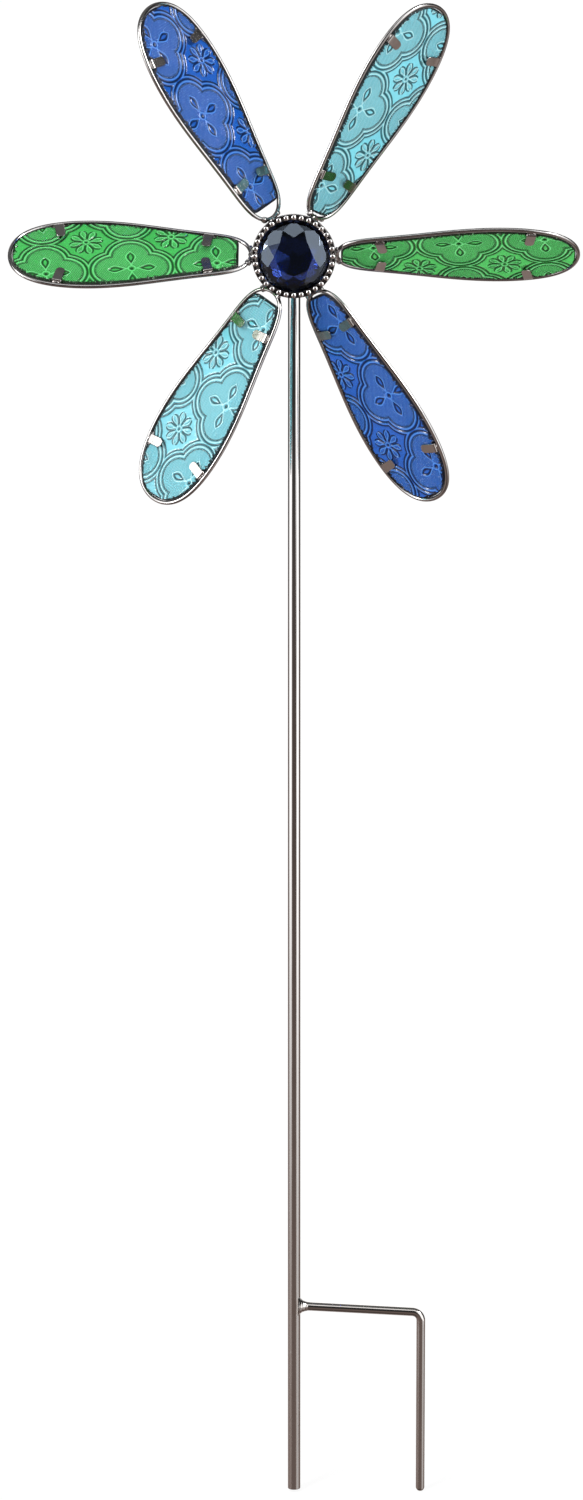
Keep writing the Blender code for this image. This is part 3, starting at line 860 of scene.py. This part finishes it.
def loop_mesh(number, settings, group, finish):
    """One closed loop of wire with the weld that joins it to the hub."""
    count = settings.points
    line = bpy.data.meshes.new("loop_line")
    route = [loop_point(2 * math.pi * step / count) for step in range(count)]
    edges = [(step, (step + 1) % count) for step in range(count)]
    line.from_pydata([tuple(point) for point in route], edges, [])
    wire = shaped_by_nodes("wire", line, group, {"Radius": settings.radius, "Sides": settings.sides,
                                                 "Material": finish})
    outward(wire)
    wire.shade_smooth()
    lumps = [wire]
    seed = number * 7.7
    lumps.append(nugget("root", Vector((28.6, 0.6, -0.2)) * MM, Vector((3.0, 4.6, 2.2)) * MM, seed))
    side = 1 if number in (2, 3, 1) else -1
    beads = (((31.6, 8.2 * side, 0.2), (2.5, 2.7, 2.2)), ((30.4, -6.5 * side, 0), (1.9, 2.4, 1.8)))
    for place, size in beads:
        lumps.append(nugget("bead", Vector(place) * MM, Vector(size) * MM, seed + place[0]))
    return placed(joined(f"petal_{number + 1}_wire", lumps), petal_matrix(number))


class SPINNER_OT_loops(bpy.types.Operator):
    """Bend and weld the six wire loops"""

    bl_idname = "spinner.loops"
    bl_label = "Wire loops"

    def execute(self, context):
        settings = context.scene.spinner_wire
        nickel = tuple(settings.nickel)
        finish = plated_metal("nickel_wire", nickel, tuple(0.72 * part for part in nickel), 0.12)
        group = wire_group()
        for number in range(PETALS):
            petal = f"petal_{number + 1}"
            mesh = loop_mesh(number, settings, group, finish)
            add_piece(f"{petal}_wire", mesh, [finish], "wheel", [f"{petal}_frame"])
        return {"FINISHED"}


def strip_route():
    """Middle line of a clip's strip, in (inwards, out of the face), from its back tip to its front tip."""
    web, bend, front, back = 2.15, 0.95, 2.4, -2.15
    lower = arc(web + bend, back + bend, bend, 270, 180, 6)
    upper = arc(web + bend, front - bend, bend, 180, 90, 6)
    back_tip, front_tip = 16.5, 15.0
    rear = [(back_tip + (web + bend - back_tip) * step / 12, back) for step in range(12)]
    fore = [(web + bend + (front_tip - web - bend) * step / 12, front) for step in range(1, 13)]
    return [Vector(point) * MM for point in (*rear, *lower, *upper, *fore)]


def clip_mesh(name, settings, seed):
    """A bent strip over the pane's edge, its fingers rounded at their tips, soldered to the wire."""
    route = strip_route()
    lengths = [0.0]
    for before, after in zip(route, route[1:]):
        lengths.append(lengths[-1] + (after - before).length)
    total = lengths[-1]
    tip_round = 2.6 * MM
    thick = settings.clip_thick / 2
    points = []
    for number, place in enumerate(route):
        before, after = route[max(number - 1, 0)], route[min(number + 1, len(route) - 1)]
        run = (after - before).normalized()
        normal = Vector((-run.y, run.x))
        from_end = min(lengths[number], total - lengths[number])
        half = settings.clip_width / 2
        if from_end < tip_round:
            short = tip_round - max(from_end, 0.12 * MM)
            half -= tip_round - math.sqrt(tip_round**2 - short**2)
        edge = min(0.22 * MM, half / 3)
        dent = 0.10 * MM * noise.noise(Vector((lengths[number] * 160, seed, 0.0)))
        flat, low = half - edge, thick - edge
        outline = [(-half, low), (-flat, thick), (flat, thick), (half, low),
                   (half, -low), (flat, -thick), (-flat, -thick), (-half, -low)]
        for along, out in outline:
            spot = place + normal * (out + dent)
            points.append((spot.x, along, spot.y))
    strip = mesh_of(name, points, rings_faces(len(route), 8, capped=True), sharp=40)
    outward(strip)
    solder = [
        nugget("solder", Vector((1.5, 0.4, 0.2)) * MM, Vector((1.0, 2.9, 1.5)) * MM, seed),
        nugget("solder", Vector((1.3, -1.2, -0.9)) * MM, Vector((1.0, 1.8, 0.9)) * MM, seed + 4.0),
    ]
    return joined(name, [strip, *solder])


class SPINNER_OT_clips(bpy.types.Operator):
    """Fold the clips that hold each pane in its loop"""

    bl_idname = "spinner.clips"
    bl_label = "Clips"

    def execute(self, context):
        settings = context.scene.spinner_wire
        tin = tuple(settings.tin)
        finish = plated_metal("clip_finish", tin, tuple(0.6 * part for part in tin), 0.16, 1400.0)
        for number in range(PETALS):
            for place, distance in CLIP_PLACES.items():
                for side, letter in ((1, "a"), (-1, "b")):
                    node = f"petal_{number + 1}_clip_{place}_{letter}"
                    seed = number * 3.7 + side * 1.9 + distance * 40
                    twist = math.radians(7.0) * noise.noise(Vector((seed, 0.5, 2.0)))
                    matrix = clip_matrix(distance, side) @ Matrix.Rotation(twist, 4, "Z")
                    mesh = placed(clip_mesh(f"{node}_strip", settings, seed), petal_matrix(number) @ matrix)
                    outward(mesh)
                    add_piece(f"{node}_strip", mesh, [finish], "wheel", [node])
        return {"FINISHED"}


# ---------------------------------------------------------------- hub


def bead_group():
    """Geometry nodes that stand beads round a circle in the XZ plane."""
    group, tree, given = node_group("beaded_rim", [
        ("Beads", "NodeSocketInt", 32),
        ("Circle radius", "NodeSocketFloat", 27 * MM),
        ("Bead size", "NodeSocketVector", None),
        ("Centre", "NodeSocketVector", None),
        ("Material", "NodeSocketMaterial", None),
    ])
    circle = tree.node("GeometryNodeMeshCircle", {}, {"Vertices": given["Beads"],
                                                      "Radius": given["Circle radius"]})
    spots = tree.node("GeometryNodeMeshToPoints", {}, {"Mesh": circle})
    place = tree.node("GeometryNodeInputPosition")
    facing = tree.node("FunctionNodeAlignRotationToVector", {"axis": "X"}, {"Vector": place})
    ball = tree.node("GeometryNodeMeshUVSphere", {}, {"Segments": 20, "Rings": 12, "Radius": 0.5})
    stood = tree.node("GeometryNodeInstanceOnPoints", {}, {"Points": spots, "Instance": ball,
                                                           "Rotation": facing, "Scale": given["Bead size"]})
    upright = tree.node("GeometryNodeTransform", {}, {"Geometry": stood, "Translation": given["Centre"],
                                                      "Rotation": (math.pi / 2, 0, 0)})
    real = tree.node("GeometryNodeRealizeInstances", {}, {"Geometry": upright})
    smoothed = tree.node("GeometryNodeSetShadeSmooth", {}, {"Geometry": real})
    done = tree.node("GeometryNodeSetMaterial", {}, {"Geometry": smoothed, "Material": given["Material"]})
    tree.node("NodeGroupOutput", {}, {"Geometry": done})
    return group


def in_front(w):
    """A place on the wheel's axis, w in front of the petals' plane."""
    return WHEEL + Vector((0, -w, 0))


def bezel_profile():
    """The cup's outline as (radius, distance in front), with a rolled lip and a groove under the beads."""
    outline = [(24.0, 1.3), (24.0, 5.2), (24.6, 5.9), (28.0, 6.1)]
    outline += arc(28.2, 7.1, 1.0, -90, 0, 5)
    outline += [(29.2, 8.2), (28.75, 8.6), (28.75, 9.4), (29.2, 9.8)]
    outline += arc(28.5, 11.4, 0.75, 0, 90, 5)
    outline += [(27.6, 12.3), (26.6, 12.0), (26.0, 12.4)]
    outline += arc(25.6, 12.4, 0.4, 60, 180, 4)
    outline += [(25.3, 9.8), (25.3, 5.0), (12.0, 5.0), (12.0, 4.2), (22.5, 4.2), (22.5, 1.3)]
    return [(r * MM, w * MM) for r, w in outline]


class SPINNER_OT_bezel(bpy.types.Operator):
    """Turn the beaded bezel"""

    bl_idname = "spinner.bezel"
    bl_label = "Beaded bezel"

    def execute(self, context):
        settings = context.scene.spinner_hub
        nickel = tuple(context.scene.spinner_wire.nickel)
        finish = plated_metal("bezel_finish", (0.10, 0.092, 0.09), (0.035, 0.03, 0.03), 0.22)
        polished = plated_metal("bead_finish", tuple(1.5 * part for part in nickel), nickel, 0.10)
        cup = turned("cup", bezel_profile(), WHEEL, (0, -1, 0), 128)
        beads = shaped_by_nodes("beads", bpy.data.meshes.new("none"), bead_group(), {
            "Beads": settings.beads,
            "Circle radius": settings.bead_circle,
            "Bead size": (settings.bead_length, settings.bead_width, 2.2 * MM),
            "Centre": tuple(in_front(12.3 * MM)),
            "Material": polished,
        })
        add_piece("bezel_cup", cup, [finish], "wheel", ["bezel"])
        add_piece("bezel_beads", beads, [polished], "wheel")
        return {"FINISHED"}


def gem_rings():
    """Rings of the gem's corners as (count, first angle, radius, distance in front), back to front."""
    turn = math.pi / 8
    main = (STAR_RADIUS * math.cos(turn) - TABLE_RADIUS) / (GEM_RADIUS - TABLE_RADIUS)
    star_w = TABLE_W - main * (TABLE_W - GIRDLE_W)
    crown = [(8, 0, TABLE_RADIUS, TABLE_W), (8, turn, STAR_RADIUS, star_w), (16, 0, GEM_RADIUS, GIRDLE_W)]
    pavilion = [(16, 0, GEM_RADIUS, 8.9 * MM), (8, turn, 13.0 * MM, 7.0 * MM), (8, 0, 3.0 * MM, 5.9 * MM)]
    return crown, pavilion


def add_ring(shape, count, start, radius, w):
    """Corners of one of the gem's rings, added to a bmesh."""
    angles = [start + 2 * math.pi * number / count for number in range(count)]
    return [shape.verts.new(in_front(w) + Vector((radius * math.cos(angle), 0, radius * math.sin(angle))))
            for angle in angles]


def hull(name, rings):
    """The flat-faced body round some rings of corners."""
    shape = bmesh.new()
    for ring in rings:
        add_ring(shape, *ring)
    bmesh.ops.convex_hull(shape, input=shape.verts)
    bmesh.ops.dissolve_limit(shape, angle_limit=math.radians(0.5), verts=shape.verts, edges=shape.edges)
    bmesh.ops.recalc_face_normals(shape, faces=shape.faces)
    mesh = mesh_from(name, shape)
    mesh.shade_flat()
    return mesh


def foil_mesh():
    """The mirror foil that lies against the back of the gem, folded over its facets."""
    pavilion = gem_rings()[1]
    gap, thick = 0.12 * MM, 0.1 * MM
    behind = [(count, start, radius - 0.2 * MM, w - gap) for count, start, radius, w in pavilion]
    further = [(count, start, radius, w - thick) for count, start, radius, w in behind]
    shape = bmesh.new()
    rings = [add_ring(shape, *ring) for ring in behind + further]
    for wide, middle, small in (rings[:3], rings[3:]):
        for number in range(8):
            after = (number + 1) % 8
            shape.faces.new((wide[2 * number], wide[2 * number + 1], middle[number]))
            shape.faces.new((wide[2 * number + 1], wide[(2 * number + 2) % 16], middle[number]))
            shape.faces.new((wide[2 * after], middle[after], middle[number]))
            shape.faces.new((middle[number], middle[after], small[after]))
            shape.faces.new((middle[number], small[after], small[number]))
        shape.faces.new(small)
    for number in range(16):
        after = (number + 1) % 16
        shape.faces.new((rings[0][number], rings[0][after], rings[3][after], rings[3][number]))
    bmesh.ops.recalc_face_normals(shape, faces=shape.faces)
    mesh = mesh_from("gem_foil", shape)
    mesh.shade_flat()
    return mesh


class SPINNER_OT_gem(bpy.types.Operator):
    """Cut the gem and lay its foil"""

    bl_idname = "spinner.gem"
    bl_label = "Faceted gem"

    def execute(self, context):
        settings = context.scene.spinner_hub
        crown, pavilion = gem_rings()
        gem = hull("gem_stone", crown + pavilion)
        bevelled = bmesh.new()
        bevelled.from_mesh(gem)
        bmesh.ops.bevel(bevelled, geom=bevelled.edges[:], offset=0.12 * MM, segments=1, affect="EDGES")
        bevelled.to_mesh(gem)
        bevelled.free()
        add_piece("gem_stone", gem, [gem_glass(tuple(settings.gem))], "wheel", ["gem"])
        foil = tuple(settings.foil)
        finish = plated_metal("foil_finish", foil, tuple(0.6 * part for part in foil), 0.06, 400.0)
        add_piece("gem_foil", foil_mesh(), [finish], "wheel")
        return {"FINISHED"}


class SPINNER_OT_hub(bpy.types.Operator):
    """Finish the hub plate, the bearing and the axle's hardware"""

    bl_idname = "spinner.hub"
    bl_label = "Hub and bearing"

    def execute(self, context):
        nickel = tuple(context.scene.spinner_wire.nickel)
        bright, dull = [tuple(scale * part for part in nickel) for scale in (0.8, 0.4)]
        plate = plated_metal("hub_finish", bright, dull, 0.2)
        steel = plated_metal("bearing_finish", (0.66, 0.66, 0.67), (0.50, 0.50, 0.50), 0.10, 2000.0)
        zinc = plated_metal("zinc_finish", (0.60, 0.61, 0.63), (0.42, 0.43, 0.45), 0.24, 1200.0)
        finishes = {
            "hub_plate": plate,
            "snap_ring": steel,
            "bearing_inner_ring": steel,
            "bearing_outer_ring": steel,
            "ball_cage": moulded_nylon(),
            "axle_bolt": zinc,
            "front_washer": zinc,
            "rear_washer": zinc,
            "spacer_sleeve": zinc,
            "acorn_nut": zinc,
        }
        finishes.update({f"ball_{number}": steel for number in range(1, 8)})
        for node, finish in finishes.items():
            for slot in frame["nodes"][node].material_slots:
                slot.material = finish
        return {"FINISHED"}


# ---------------------------------------------------------------- stake


def pole_profile():
    """The tube's outline: thin wall, a rolled edge at the foot and a plain top."""
    wall = 1.1 * MM
    inside = POLE_RADIUS - wall
    low, top = POLE_LOW.z, POLE_HIGH.z
    foot = arc(POLE_RADIUS - wall / 2, low + wall / 2, wall / 2, 180, 360, 10)
    wall_out = [(POLE_RADIUS, low + step * MM) for step in (1.0, 1.5, 3.0, 300.0, 600.0)]
    rim = [(POLE_RADIUS, top - 1.0 * MM), (POLE_RADIUS, top - 0.2 * MM), (POLE_RADIUS - 0.2 * MM, top)]
    return foot + wall_out + rim + [(inside, top), (inside, top - 1.0 * MM), (inside, low + 1.5 * MM)]


def cap_profile():
    low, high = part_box("pole_cap")
    seat = POLE_HIGH.z + 0.3 * MM
    radius = POLE_RADIUS
    dome = arc(radius - 1.1 * MM, high.z - 1.1 * MM, 1.1 * MM, 0, 90, 8)
    stem = radius - 1.5 * MM
    return [(0, low.z), (stem, low.z), (stem, seat), (radius, seat), *dome, (0, high.z)]


PRONG_FALL = math.radians(3.0)
PRONG_ROOT_Z = 8.0 * MM
ROD_RADIUS = 3.2 * MM
ROD_BEND = 6.5 * MM


def prong_route():
    """Centre line of the rod: out from the pole, round the bend and down, with its radius at each point."""
    low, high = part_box("prong")
    radius, fall = ROD_RADIUS, PRONG_FALL
    down_x = high.x - radius
    start = Vector((POLE_RADIUS - 0.5 * MM, 0, PRONG_ROOT_Z - (POLE_RADIUS - 0.5 * MM) * math.tan(fall)))
    turn = math.pi / 2 - fall
    back = ROD_BEND * math.tan(turn / 2)
    slope = Vector((math.cos(fall), 0, -math.sin(fall)))
    corner = Vector((down_x, 0, start.z - (down_x - start.x) * math.tan(fall)))
    bend_start = corner - slope * back
    centre = bend_start + Vector((slope.z, 0, -slope.x)) * ROD_BEND
    route = [start + (bend_start - start) * step / 20 for step in range(20)]
    for step in range(17):
        spoke = bend_start - centre
        spoke.rotate(Matrix.Rotation(turn * step / 16, 3, "Y"))
        route.append(centre + spoke)
    last = route[-1]
    foot = Vector((down_x, 0, low.z + radius))
    route += [last + (foot - last) * step / 24 for step in range(1, 24)]
    radii = [radius] * len(route)
    for step in range(9):
        angle = math.radians(88) * step / 8
        route.append(Vector((down_x, 0, low.z + radius * (1 - math.sin(angle)))))
        radii.append(radius * math.cos(angle))
    return route, radii


def weld_mesh():
    """The flared weld round the rod's root, rippled as it was laid."""
    run = Vector((math.cos(PRONG_FALL), 0, -math.sin(PRONG_FALL)))
    root = Vector((0, 0, PRONG_ROOT_Z))
    side, up = Vector((0, 1, 0)), run.cross(Vector((0, 1, 0)))
    rows, sides = 26, 40
    points = []
    for row in range(rows):
        along = (3.4 + 8.8 * row / (rows - 1)) * MM
        flare = (1 - row / (rows - 1)) ** 2.6
        for step in range(sides):
            angle = 2 * math.pi * step / sides
            wave = 0.12 * math.sin(row * 1.25 + 0.8 * math.sin(angle * 2))
            lump = 0.35 * noise.noise(Vector((math.cos(angle) * 1.5, math.sin(angle) * 1.5, row * 0.16)))
            radius = (3.22 + 4.1 * flare + (wave + lump) * (1 - row / rows)) * MM
            points.append(root + run * along + (side * math.cos(angle) + up * math.sin(angle)) * radius)
    return outward(mesh_of("weld", points, rings_faces(rows, sides, capped=True), sharp=60))


class SPINNER_OT_stake(bpy.types.Operator):
    """Draw the pole, its cap, the prong and its weld"""

    bl_idname = "spinner.stake"
    bl_label = "Stake"

    def execute(self, context):
        settings = context.scene.spinner_stake
        finish = stake_metal(settings)
        origin = Vector((0, 0, 0))
        up = (0, 0, 1)
        add_piece("pole_tube", turned("pole_tube", pole_profile(), origin, up, settings.sides), [finish],
                  "stake", ["pole"])
        add_piece("pole_plug", turned("pole_plug", cap_profile(), origin, up, settings.sides), [finish],
                  "stake", ["pole_cap"])
        route, radii = prong_route()
        add_piece("prong_rod", swept("prong_rod", route, radii, Vector((0, 1, 0)), 40), [finish], "stake",
                  ["prong"])
        add_piece("prong_root_weld", weld_mesh(), [finish], "stake", ["prong_weld"])
        return {"FINISHED"}


# ---------------------------------------------------------------- stage

# What shiny surfaces mirror at three heights of the studio. Each height has a dim fill, a pale wall behind
# and two upright soft boxes. A box is its middle, half width and soft edge in degrees round the wheel, with 0
# in front and 90 on the right, and then its brightness.
STUDIO = {
    "above": {"fill": 0.02, "wall": 0.9, "boxes": ((-65, 25, 10, 1.0), (54, 28, 9, 1.0))},
    "level": {"fill": 0.05, "wall": 0.55, "boxes": ((-70, 27, 11, 0.9), (68, 23, 8, 1.0))},
    "below": {"fill": 0.09, "wall": 0.3, "boxes": ((-90, 35, 15, 0.05), (67, 26, 13, 0.25))},
}
WALL_EDGES = (math.radians(120), math.radians(180))
STRIP_LEFT = (math.radians(-75), math.radians(-73))
STRIP_RIGHT = (math.radians(-67), math.radians(-65))
SPARK_WAY = Vector((0.72, -0.38, 0.58)).normalized()
SUN_WAY = Vector((0.37, 0.53, -0.77))
BOUNCE_PLACE = Vector((1.5, -2.3, 0.05))
DARK_TINT = (1.22, 0.94, 0.84)


def studio_ring(azimuth, layout):
    """Brightness round the studio at one height."""
    behind = azimuth.maths("ABSOLUTE", azimuth)
    ring = layout["fill"] + behind.step(*WALL_EDGES) * layout["wall"]
    for middle, half_width, edge, brightness in layout["boxes"]:
        off = azimuth - math.radians(middle)
        off = off.maths("ABSOLUTE", off)
        outside = off.step(math.radians(half_width - edge), math.radians(half_width + edge))
        ring = ring + (1.0 - outside) * brightness
    return ring


def build_world(settings):
    """White to the camera. Shiny surfaces, light through glass and matt surfaces each see their own sky."""
    world = bpy.data.worlds.new("studio")
    bpy.context.scene.world = world
    world.use_nodes = True
    tree = Tree(world.node_tree)
    way = tree.node("ShaderNodeTexCoord", output="Generated")
    x, y, z = tree.parts(way)
    azimuth = x.maths("ARCTAN2", x, -y)
    above, level, below = [studio_ring(azimuth, STUDIO[height]) for height in ("above", "level", "below")]
    fall = (-z).step(0.125, 0.18)
    floor_part = (-z).step(0.19, 0.31)
    ring = above * (1.0 - fall) + level * fall
    ring = ring * (1.0 - floor_part) + below * floor_part
    high = z.step(0.60, 0.72)
    front = (-y).step(0.35, 0.55) * (1.0 - z.step(0.86, 0.92))
    ring = ring * (1.0 - high) + (0.08 + front * 0.75) * high
    low = 1.0 - (-z).step(0.55, 0.9) * 0.6
    strip = azimuth.step(*STRIP_LEFT) * (1.0 - azimuth.step(*STRIP_RIGHT))
    strip = strip * z.step(-0.10, 0.0) * (1.0 - z.step(0.45, 0.6)) * settings.strip
    toward = tree.node("ShaderNodeVectorMath", {"operation": "DOT_PRODUCT"}, {0: way, 1: tuple(SPARK_WAY)}, 1)
    lamp = toward.step(0.984, 0.991) * settings.spark
    shine = ring * low * settings.boxes + strip + lamp
    grey = tree.grey(shine)
    warm = (-z).step(0.12, 0.2) * (1.0 - shine.step(0.15, 0.9))
    tinted = tree.node("ShaderNodeVectorMath", {"operation": "MULTIPLY"}, {0: grey, 1: DARK_TINT})
    seen = tree.mix(warm, grey, tinted)
    slant = 0.92 + (z + 0.13) * 3.6 - x * 2.4
    behind = slant.maths("MAXIMUM", slant.maths("MINIMUM", slant, 1.7), 0.06)
    path = tree.node("ShaderNodeLightPath").socket.node.outputs
    glossy, transmitted = Signal(tree, path["Is Glossy Ray"]), Signal(tree, path["Is Transmission Ray"])
    camera = Signal(tree, path["Is Camera Ray"])
    plain = tree.grey(camera * (1.0 - settings.sky) + settings.sky)
    light = tree.mix(glossy, tree.mix(transmitted, plain, tree.grey(behind)), seen)
    back = tree.node("ShaderNodeBackground", {}, {"Color": light, "Strength": 1.0})
    tree.node("ShaderNodeOutputWorld", {}, {"Surface": back})


def build_floor(settings):
    """A wide pale disc under the prong's foot."""
    level = CAD_BOX[0][2]
    shape = bmesh.new()
    bmesh.ops.create_circle(shape, cap_ends=True, segments=96, radius=settings.floor_radius)
    bmesh.ops.translate(shape, verts=shape.verts, vec=(0, 0, level))
    mesh = mesh_from("floor", shape)
    floor = linked("floor", mesh)

    def build(tree):
        grain = tree.noise(tree.object_place(), 3.0, 2.0)
        return {"Base Color": tree.mix(grain, (0.10, 0.10, 0.10), (0.12, 0.12, 0.12)), "Roughness": 0.9,
                "Specular IOR Level": 0.0, "Emission Color": (1.0, 1.0, 1.0, 1.0), "Emission Strength": 0.92}

    mesh.materials.append(principled("floor_finish", build))
    floor.visible_glossy = False
    floor.visible_transmission = False


def add_sun(strength):
    """A broad soft lamp high on the left, which shiny surfaces don't show."""
    lamp = bpy.data.lights.new("sun", "SUN")
    lamp.energy = strength
    lamp.angle = math.radians(14)
    holder = linked("sun", lamp)
    holder.rotation_euler = SUN_WAY.to_track_quat("-Z", "Y").to_euler()
    holder.visible_glossy = False
    holder.visible_transmission = False


def add_bounce(strength):
    """A low lamp in front on the right, for the petals that lean down."""
    lamp = bpy.data.lights.new("bounce", "AREA")
    lamp.shape = "DISK"
    lamp.size = 0.5
    lamp.energy = strength
    holder = linked("bounce", lamp)
    holder.location = BOUNCE_PLACE
    holder.rotation_euler = (WHEEL - BOUNCE_PLACE).to_track_quat("-Z", "Y").to_euler()
    holder.visible_camera = False
    holder.visible_glossy = False
    holder.visible_transmission = False


def build_camera(settings):
    """The camera, level from side to side, at its place round the wheel."""
    lens = bpy.data.cameras.new("camera")
    lens.lens = settings.lens
    lens.sensor_width = 36.0
    lens.sensor_fit = "AUTO"
    lens.clip_end = 500.0
    holder = linked("camera", lens)
    level = math.cos(settings.elevation)
    way = Vector((math.sin(settings.azimuth) * level, -math.cos(settings.azimuth) * level,
                  math.sin(settings.elevation)))
    holder.location = WHEEL + way * settings.distance
    holder.rotation_euler = (math.pi / 2 - settings.dip, 0.0, -settings.turn)
    bpy.context.scene.camera = holder


class SPINNER_OT_stage(bpy.types.Operator):
    """Set out the floor, the light and the camera"""

    bl_idname = "spinner.stage"
    bl_label = "Stage"

    def execute(self, context):
        settings = context.scene.spinner_stage
        build_world(settings)
        build_floor(settings)
        add_sun(settings.sun)
        add_bounce(settings.bounce)
        build_camera(settings)
        context.scene.view_settings.view_transform = "Standard"
        return {"FINISHED"}


# ---------------------------------------------------------------- add-on


OPERATORS = (
    SPINNER_OT_stage,
    SPINNER_OT_panes,
    SPINNER_OT_loops,
    SPINNER_OT_clips,
    SPINNER_OT_bezel,
    SPINNER_OT_gem,
    SPINNER_OT_hub,
    SPINNER_OT_stake,
)


class SPINNER_PT_panel(bpy.types.Panel):
    """The spinner's settings and the buttons that build it"""

    bl_idname = "SPINNER_PT_panel"
    bl_label = "Wind Spinner"
    bl_space_type = "VIEW_3D"
    bl_region_type = "UI"
    bl_category = "Spinner"

    def draw(self, context):
        for operator in OPERATORS:
            self.layout.operator(operator.bl_idname)
        for name, group in SETTINGS.items():
            box = self.layout.box()
            box.label(text=group.__doc__)
            for field in group.__annotations__:
                box.prop(getattr(context.scene, name), field)


def register():
    for group in SETTINGS.values():
        bpy.utils.register_class(group)
    for name, group in SETTINGS.items():
        setattr(bpy.types.Scene, name, PointerProperty(type=group))
    for thing in (*OPERATORS, SPINNER_PT_panel):
        bpy.utils.register_class(thing)


def unregister():
    for thing in reversed((*OPERATORS, SPINNER_PT_panel)):
        bpy.utils.unregister_class(thing)
    for name, group in reversed(SETTINGS.items()):
        delattr(bpy.types.Scene, name)
        bpy.utils.unregister_class(group)


def main():
    register()
    bpy.ops.spinner.stage()
    bpy.ops.spinner.panes()
    bpy.ops.spinner.loops()
    bpy.ops.spinner.clips()
    bpy.ops.spinner.bezel()
    bpy.ops.spinner.gem()
    bpy.ops.spinner.hub()
    bpy.ops.spinner.stake()
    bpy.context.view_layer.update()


if __name__ == "__main__":
    main()
